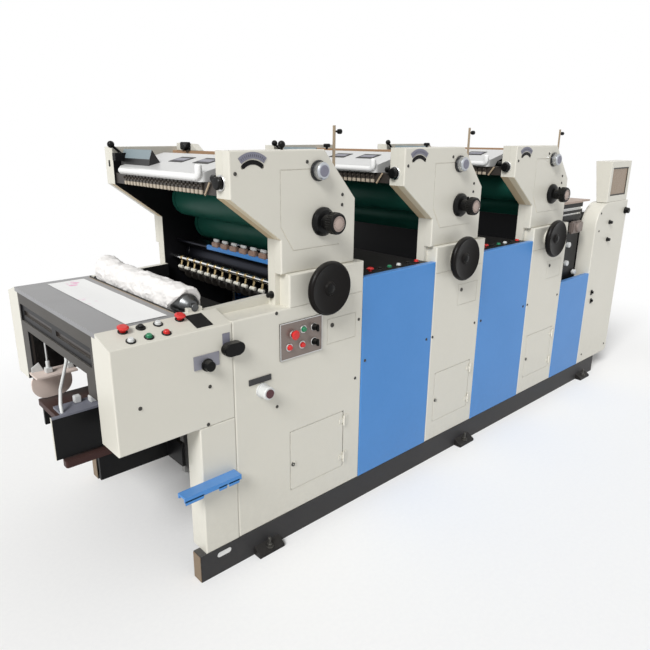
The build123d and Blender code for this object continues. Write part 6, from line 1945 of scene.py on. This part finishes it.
    def plates(self) -> None:
        """Small plate and oval grip by the delivery box, and the dark plate on the desk."""
        first, front = PRESS.stations[0], PRESS.face(PRESS.half)
        (x0, x1), (z0, z1) = self.small_plate_x, self.small_plate_z
        small = Form().block((first + x0, front - self.small_plate_thick, z0),
                             (first + x1, front, z1), edge=0.0008)
        small.fit("delivery_plate", Coat.SCALE, "grey_board")
        x, z = first + self.grip[0], PRESS.seam - self.grip[1]
        grip = Form().prism([(x + a, front, z + b) for a, b in oval(*self.grip_size, steps=14)],
                            (0, -self.grip_depth, 0), edge=0.004)
        grip.fit("oval_grip", Coat.BLACK_KNOB, "black_plastic", smooth=50.0)
        x0, x1 = (PRESS.box_front + x for x in self.desk_plate_x)
        (y0, z0), (y1, z1) = ((PRESS.face(out), self.desk_rise(out)) for out in self.desk_plate_out)
        plate = Form().prism([(x0, y0, z0), (x1, y0, z0), (x1, y1, z1), (x0, y1, z1)],
                             (0, 0, self.desk_plate_thick), edge=0.0008)
        plate.fit("desk_plate", Coat.BLACK, "black_paint")

    def table_edge(self) -> None:
        """Black strip and tan lip along the table's edge by the roller."""
        y0, y1 = PRESS.face(self.lip_half), PRESS.face(self.lip_half, 1)
        low = PRESS.table - self.lip_sink
        (x0, x1), high = self.strip_x, PRESS.table + self.strip_rise
        strip = Form().block((x0, y0, low), (x1, y1, high), edge=0.0012)
        strip.fit("table_gap_strip", Coat.BLACK, "black_paint")
        (x0, x1), high = self.lip_x, PRESS.table + self.lip_rise
        lip = Form().block((x0, y0, low), (x1, y1, high), edge=0.0008)
        lip.fit("table_lip", Coat.TAN, "wheel_cream")

    def jogger_fittings(self) -> None:
        """White clamps, brackets and bent rod on the joggers."""
        form = Form()
        half, (holder_x, holder_y), (low, high) = self.clamp_half, self.holder_half, self.holder_z
        for x in (PRESS.box_front + lead for lead in self.jogger_x):
            for side, top in zip((-1, 1), self.jogger_tops):
                y = PRESS.face(self.jogger_out, side)
                form.block((x - half, y - half, top), (x + half, y + half, top + self.clamp_height),
                           edge=0.002)
                form.lathe(self.stem, (x, y, top + self.stem_rise), UP, sides=14)
                form.block((x - holder_x, y - holder_y, low), (x + holder_x, y + holder_y, high),
                           edge=0.003)
        form.block(*self.spare_clamp, edge=0.002)
        form.tube(self.rod, self.rod_r, sides=12)
        form.prism([(x, self.flag_y, z) for x, z in self.flag], (0, self.flag_thick, 0),
                   edge=0.0008)
        form.fit("jogger_clamps", Coat.WHITE, "white_plastic")

    def step_tabs(self) -> None:
        """Folded tabs below the lip of the foot step."""
        form = Form()
        (start, stop), (low, high), slope = self.step_x, self.step_z, self.step_slope
        front = PRESS.face(self.step_face)
        for tab in self.tabs:
            x0, x1 = (start + (stop - start) * share for share in tab)
            form.prism([(x0, front, high), (x1, front, high), (x1 - slope, front, low),
                        (x0 + slope, front, low)], (0, self.step_thick, 0), edge=0.0008)
        form.fit("step_tabs", Coat.BLUE, "blue_paint")


def lever_outline(x: float, y: float, z: float, half: Pair, ends: Pair) -> list[Point]:
    """Outlines a small bar that narrows upwards, in the XZ plane.

    Args:
        x: Middle of the bar.
        y: Y of the outline.
        z: Height that the ends are measured from.
        half: Half its width at the bottom and at the top.
        ends: Its bottom and top, from z.

    Returns:
        The corners.
    """
    (low, high), (wide, narrow) = ends, half
    return [(x - wide, y, z + low), (x + wide, y, z + low), (x + narrow, y, z + high),
            (x - narrow, y, z + high)]


@dataclass
class ControlTrim(Assembly):
    """Bezels round the buttons, bars on the selectors and the border of the control plate."""

    desk_spots: tuple[Pair, ...] = ((0.088, 0.445), (0.303, 0.445), (0.218, 0.503), (0.153, 0.503),
                                    (0.088, 0.503), (0.218, 0.445), (0.153, 0.445))
    desk_run: float = 0.107
    desk_drop: float = 0.034
    strip: Pair = (0.807, 1.138)
    strip_out: float = 0.465
    strip_top: float = 1.108
    strip_count: int = 6
    bezel: Profile = ((0.0126, 0), (0.017, 0), (0.017, 0.0025), (0.0155, 0.004), (0.0126, 0.004),
                      (0.0126, 0))
    panel: Pair = (-1.204, 0.836)
    panel_size: Pair = (0.226, 0.156)
    panel_thick: float = 0.004
    panel_spots: tuple[Pair, ...] = ((0.067, 0.102), (0.046, 0.051), (0.114, 0.048), (0.121, 0.113))
    selectors: tuple[Pair, ...] = ((0.178, 0.111), (0.178, 0.048))
    selector_lift: float = 0.02
    selector_half: Pair = (0.005, 0.004)
    selector_ends: Pair = (-0.014, 0.016)
    selector_thick: float = 0.012
    border_width: float = 0.004
    border_depth: Pair = (0.003, -0.0012)

    def build(self) -> None:
        """Makes the bezels, the bars and the border."""
        spots = []
        slope = (0.0, -self.desk_drop, self.desk_run)
        for x, out in self.desk_spots:
            z = PRESS.table - self.desk_drop + (PRESS.half - out) / self.desk_run * self.desk_drop
            spots.append(((PRESS.box_front + x, PRESS.face(out), z), slope))
        for station in PRESS.stations[:-1]:
            start, stop = (station + x for x in self.strip)
            step = (stop - start) / (self.strip_count - 1)
            spots += [((start + step * n, PRESS.face(self.strip_out), self.strip_top), UP)
                      for n in range(self.strip_count)]
        repeater = self.repeat[Repeat.SPOTS]
        repeater.make("button_bezels", self.ring(), Coat.BLACK_KNOB, "black_plastic", spots=spots,
                      Spin=0.0, Seed=1)
        front = PRESS.face(PRESS.half + self.panel_thick)
        spots = [((self.panel[0] + x, front, self.panel[1] + z), NEAR)
                 for x, z in self.panel_spots + self.selectors]
        repeater.make("panel_bezels", self.ring(), Coat.STEEL, "steel", spots=spots, Spin=0.0,
                      Seed=2)
        self.panel_trim(front)

    def ring(self) -> Form:
        """Ring that stands round one button, its axis along Z."""
        return Form().lathe(self.bezel, ORIGIN, UP, sides=24)

    def panel_trim(self, front: float) -> None:
        """Bars on the two selectors and a bright border round the plate.

        Args:
            front: Y of the plate's face.
        """
        bars = Form()
        for x, z in self.selectors:
            outline = lever_outline(self.panel[0] + x, front - self.selector_lift,
                                    self.panel[1] + z, self.selector_half, self.selector_ends)
            bars.prism(outline, (0, -self.selector_thick, 0), edge=0.002)
        bars.fit("selector_bars", Coat.BLACK_KNOB, "black_plastic")
        high = (self.panel[0] + self.panel_size[0], self.panel[1] + self.panel_size[1])
        back, face = (front + depth for depth in self.border_depth)
        border = Form().border(self.panel, high, (back, face), self.border_width)
        border.fit("panel_border", Coat.STEEL, "steel")


@dataclass
class FeederTrim(Assembly):
    """Screen, small rollers, gearbox, plate and switches at the feeder."""

    window_x: Pair = (1.706, 1.962)
    window_z: Pair = (1.309, 1.498)
    window_out: float = 0.518
    window_slack: float = 0.0005
    shade_border_width: float = 0.008
    shade_border_thick: float = 0.006
    glass_thick: float = 0.003
    column_out: float = 0.455
    rollers: tuple[Pair, ...] = ((1.3, 1.013), (1.302, 0.889), (1.43, 0.811))
    roller: Profile = ((0.006, 0), (0.006, 0.006), (0.016, 0.007), (0.018, 0.009), (0.018, 0.026),
                       (0.016, 0.028), (0.005, 0.029), (0, 0.029))
    gear_x: Pair = (1.3, 1.448)
    gear_z: Pair = (1.085, 1.165)
    gear_depth: float = 0.034
    gear_cap: Profile = ((0.034, 0), (0.034, 0.01), (0.028, 0.018), (0, 0.018))
    gear_cap_spot: Pair = (1.372, 1.125)
    gear_cap_lift: float = 0.03
    plate_x: Pair = (1.455, 1.546)
    plate_z: Pair = (0.3, 1.172)
    plate_depth: Pair = (0.052, 0.056)
    closing_x: Pair = (1.541, 1.5455)
    closing_lead: float = 0.002
    switches: tuple[Pair, ...] = ((1.624, 0.643), (1.633, 0.58))
    switch_half: Pair = (0.012, 0.018)
    switch_thick: float = 0.004
    toggle_half: Pair = (0.005, 0.004)
    toggle_ends: Pair = (-0.006, 0.012)
    toggle_thick: float = 0.012

    def build(self) -> None:
        """Makes the feeder's small pieces."""
        self.screen()
        self.column_fittings()
        self.column_plate()
        self.switch_row()

    def screen(self) -> None:
        """Brown screen in the screen box's window, ringed by a dark border of painted recess shade.
        """
        y = PRESS.face(self.window_out)
        (x0, x1), (z0, z1) = self.window_x, self.window_z
        edge, slack = self.shade_border_width, self.window_slack
        glass = Form().block((x0 + edge, y - self.glass_thick, z0 + edge),
                             (x1 - edge, y, z1 - edge))
        glass.fit("screen_glass", Coat.GLASS, "brown_panel")
        # The dark border round the glass is painted shade of the window's recess.
        frame = Form().border((x0 + slack, z0 + slack), (x1 - slack, z1 - slack),
                              (y, y - self.shade_border_thick), edge)
        frame.fit("screen_frame", Coat.SCREW, "black_paint")

    def column_fittings(self) -> None:
        """Side rollers and gearbox on the column."""
        rolls = Form()
        out = PRESS.face(self.column_out)
        for x, z in self.rollers:
            rolls.lathe(self.roller, (x, out, z), NEAR, sides=24)
        rolls.fit("side_rollers", Coat.WHITE, "white_plastic")
        (x0, x1), (z0, z1) = self.gear_x, self.gear_z
        gearbox = Form().block((x0, out - self.gear_depth, z0), (x1, out, z1), edge=0.01)
        x, z = self.gear_cap_spot
        gearbox.lathe(self.gear_cap, (x, out - self.gear_cap_lift, z), NEAR, sides=28)
        gearbox.fit("drive_gearbox", Coat.PLATES, "steel")

    def column_plate(self) -> None:
        """Dark plate behind the cover's edge, with a leg that closes the gap beside the column."""
        (x0, x1), (z0, z1) = self.plate_x, self.plate_z
        y0, y1 = (PRESS.face(self.column_out) + depth for depth in self.plate_depth)
        plate = Form().block((x0, y0, z0), (x1, y1, z1))
        x0, x1 = self.closing_x
        plate.block((x0, PRESS.face(PRESS.frame_in) - self.closing_lead, z0), (x1, y1, z1))
        plate.fit("column_plate", Coat.BLACK, "black_paint")

    def switch_row(self) -> None:
        """Two small switches on the feeder cover."""
        form = Form()
        front = PRESS.face(PRESS.half)
        face, (wide, tall) = front - self.switch_thick, self.switch_half
        for x, z in self.switches:
            form.block((x - wide, face, z - tall), (x + wide, front, z + tall))
            form.prism(lever_outline(x, face, z, self.toggle_half, self.toggle_ends),
                       (0, -self.toggle_thick, 0), edge=0.0015)
        form.fit("feeder_switches", Coat.BLACK_KNOB, "black_plastic")


def main() -> None:
    """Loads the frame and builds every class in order."""
    logging.basicConfig(level=logging.INFO, format="%(name)s: %(message)s")
    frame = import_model()
    Studio().build()
    repeat = {way: Repeater(way) for way in Repeat}
    Castings().dress(frame["nodes"])
    for part in (Fasteners, InkHead, HandParts, Throat, Delivery, ControlTrim, FeederTrim):
        part(repeat).build()


if __name__ == "__main__":
    main()
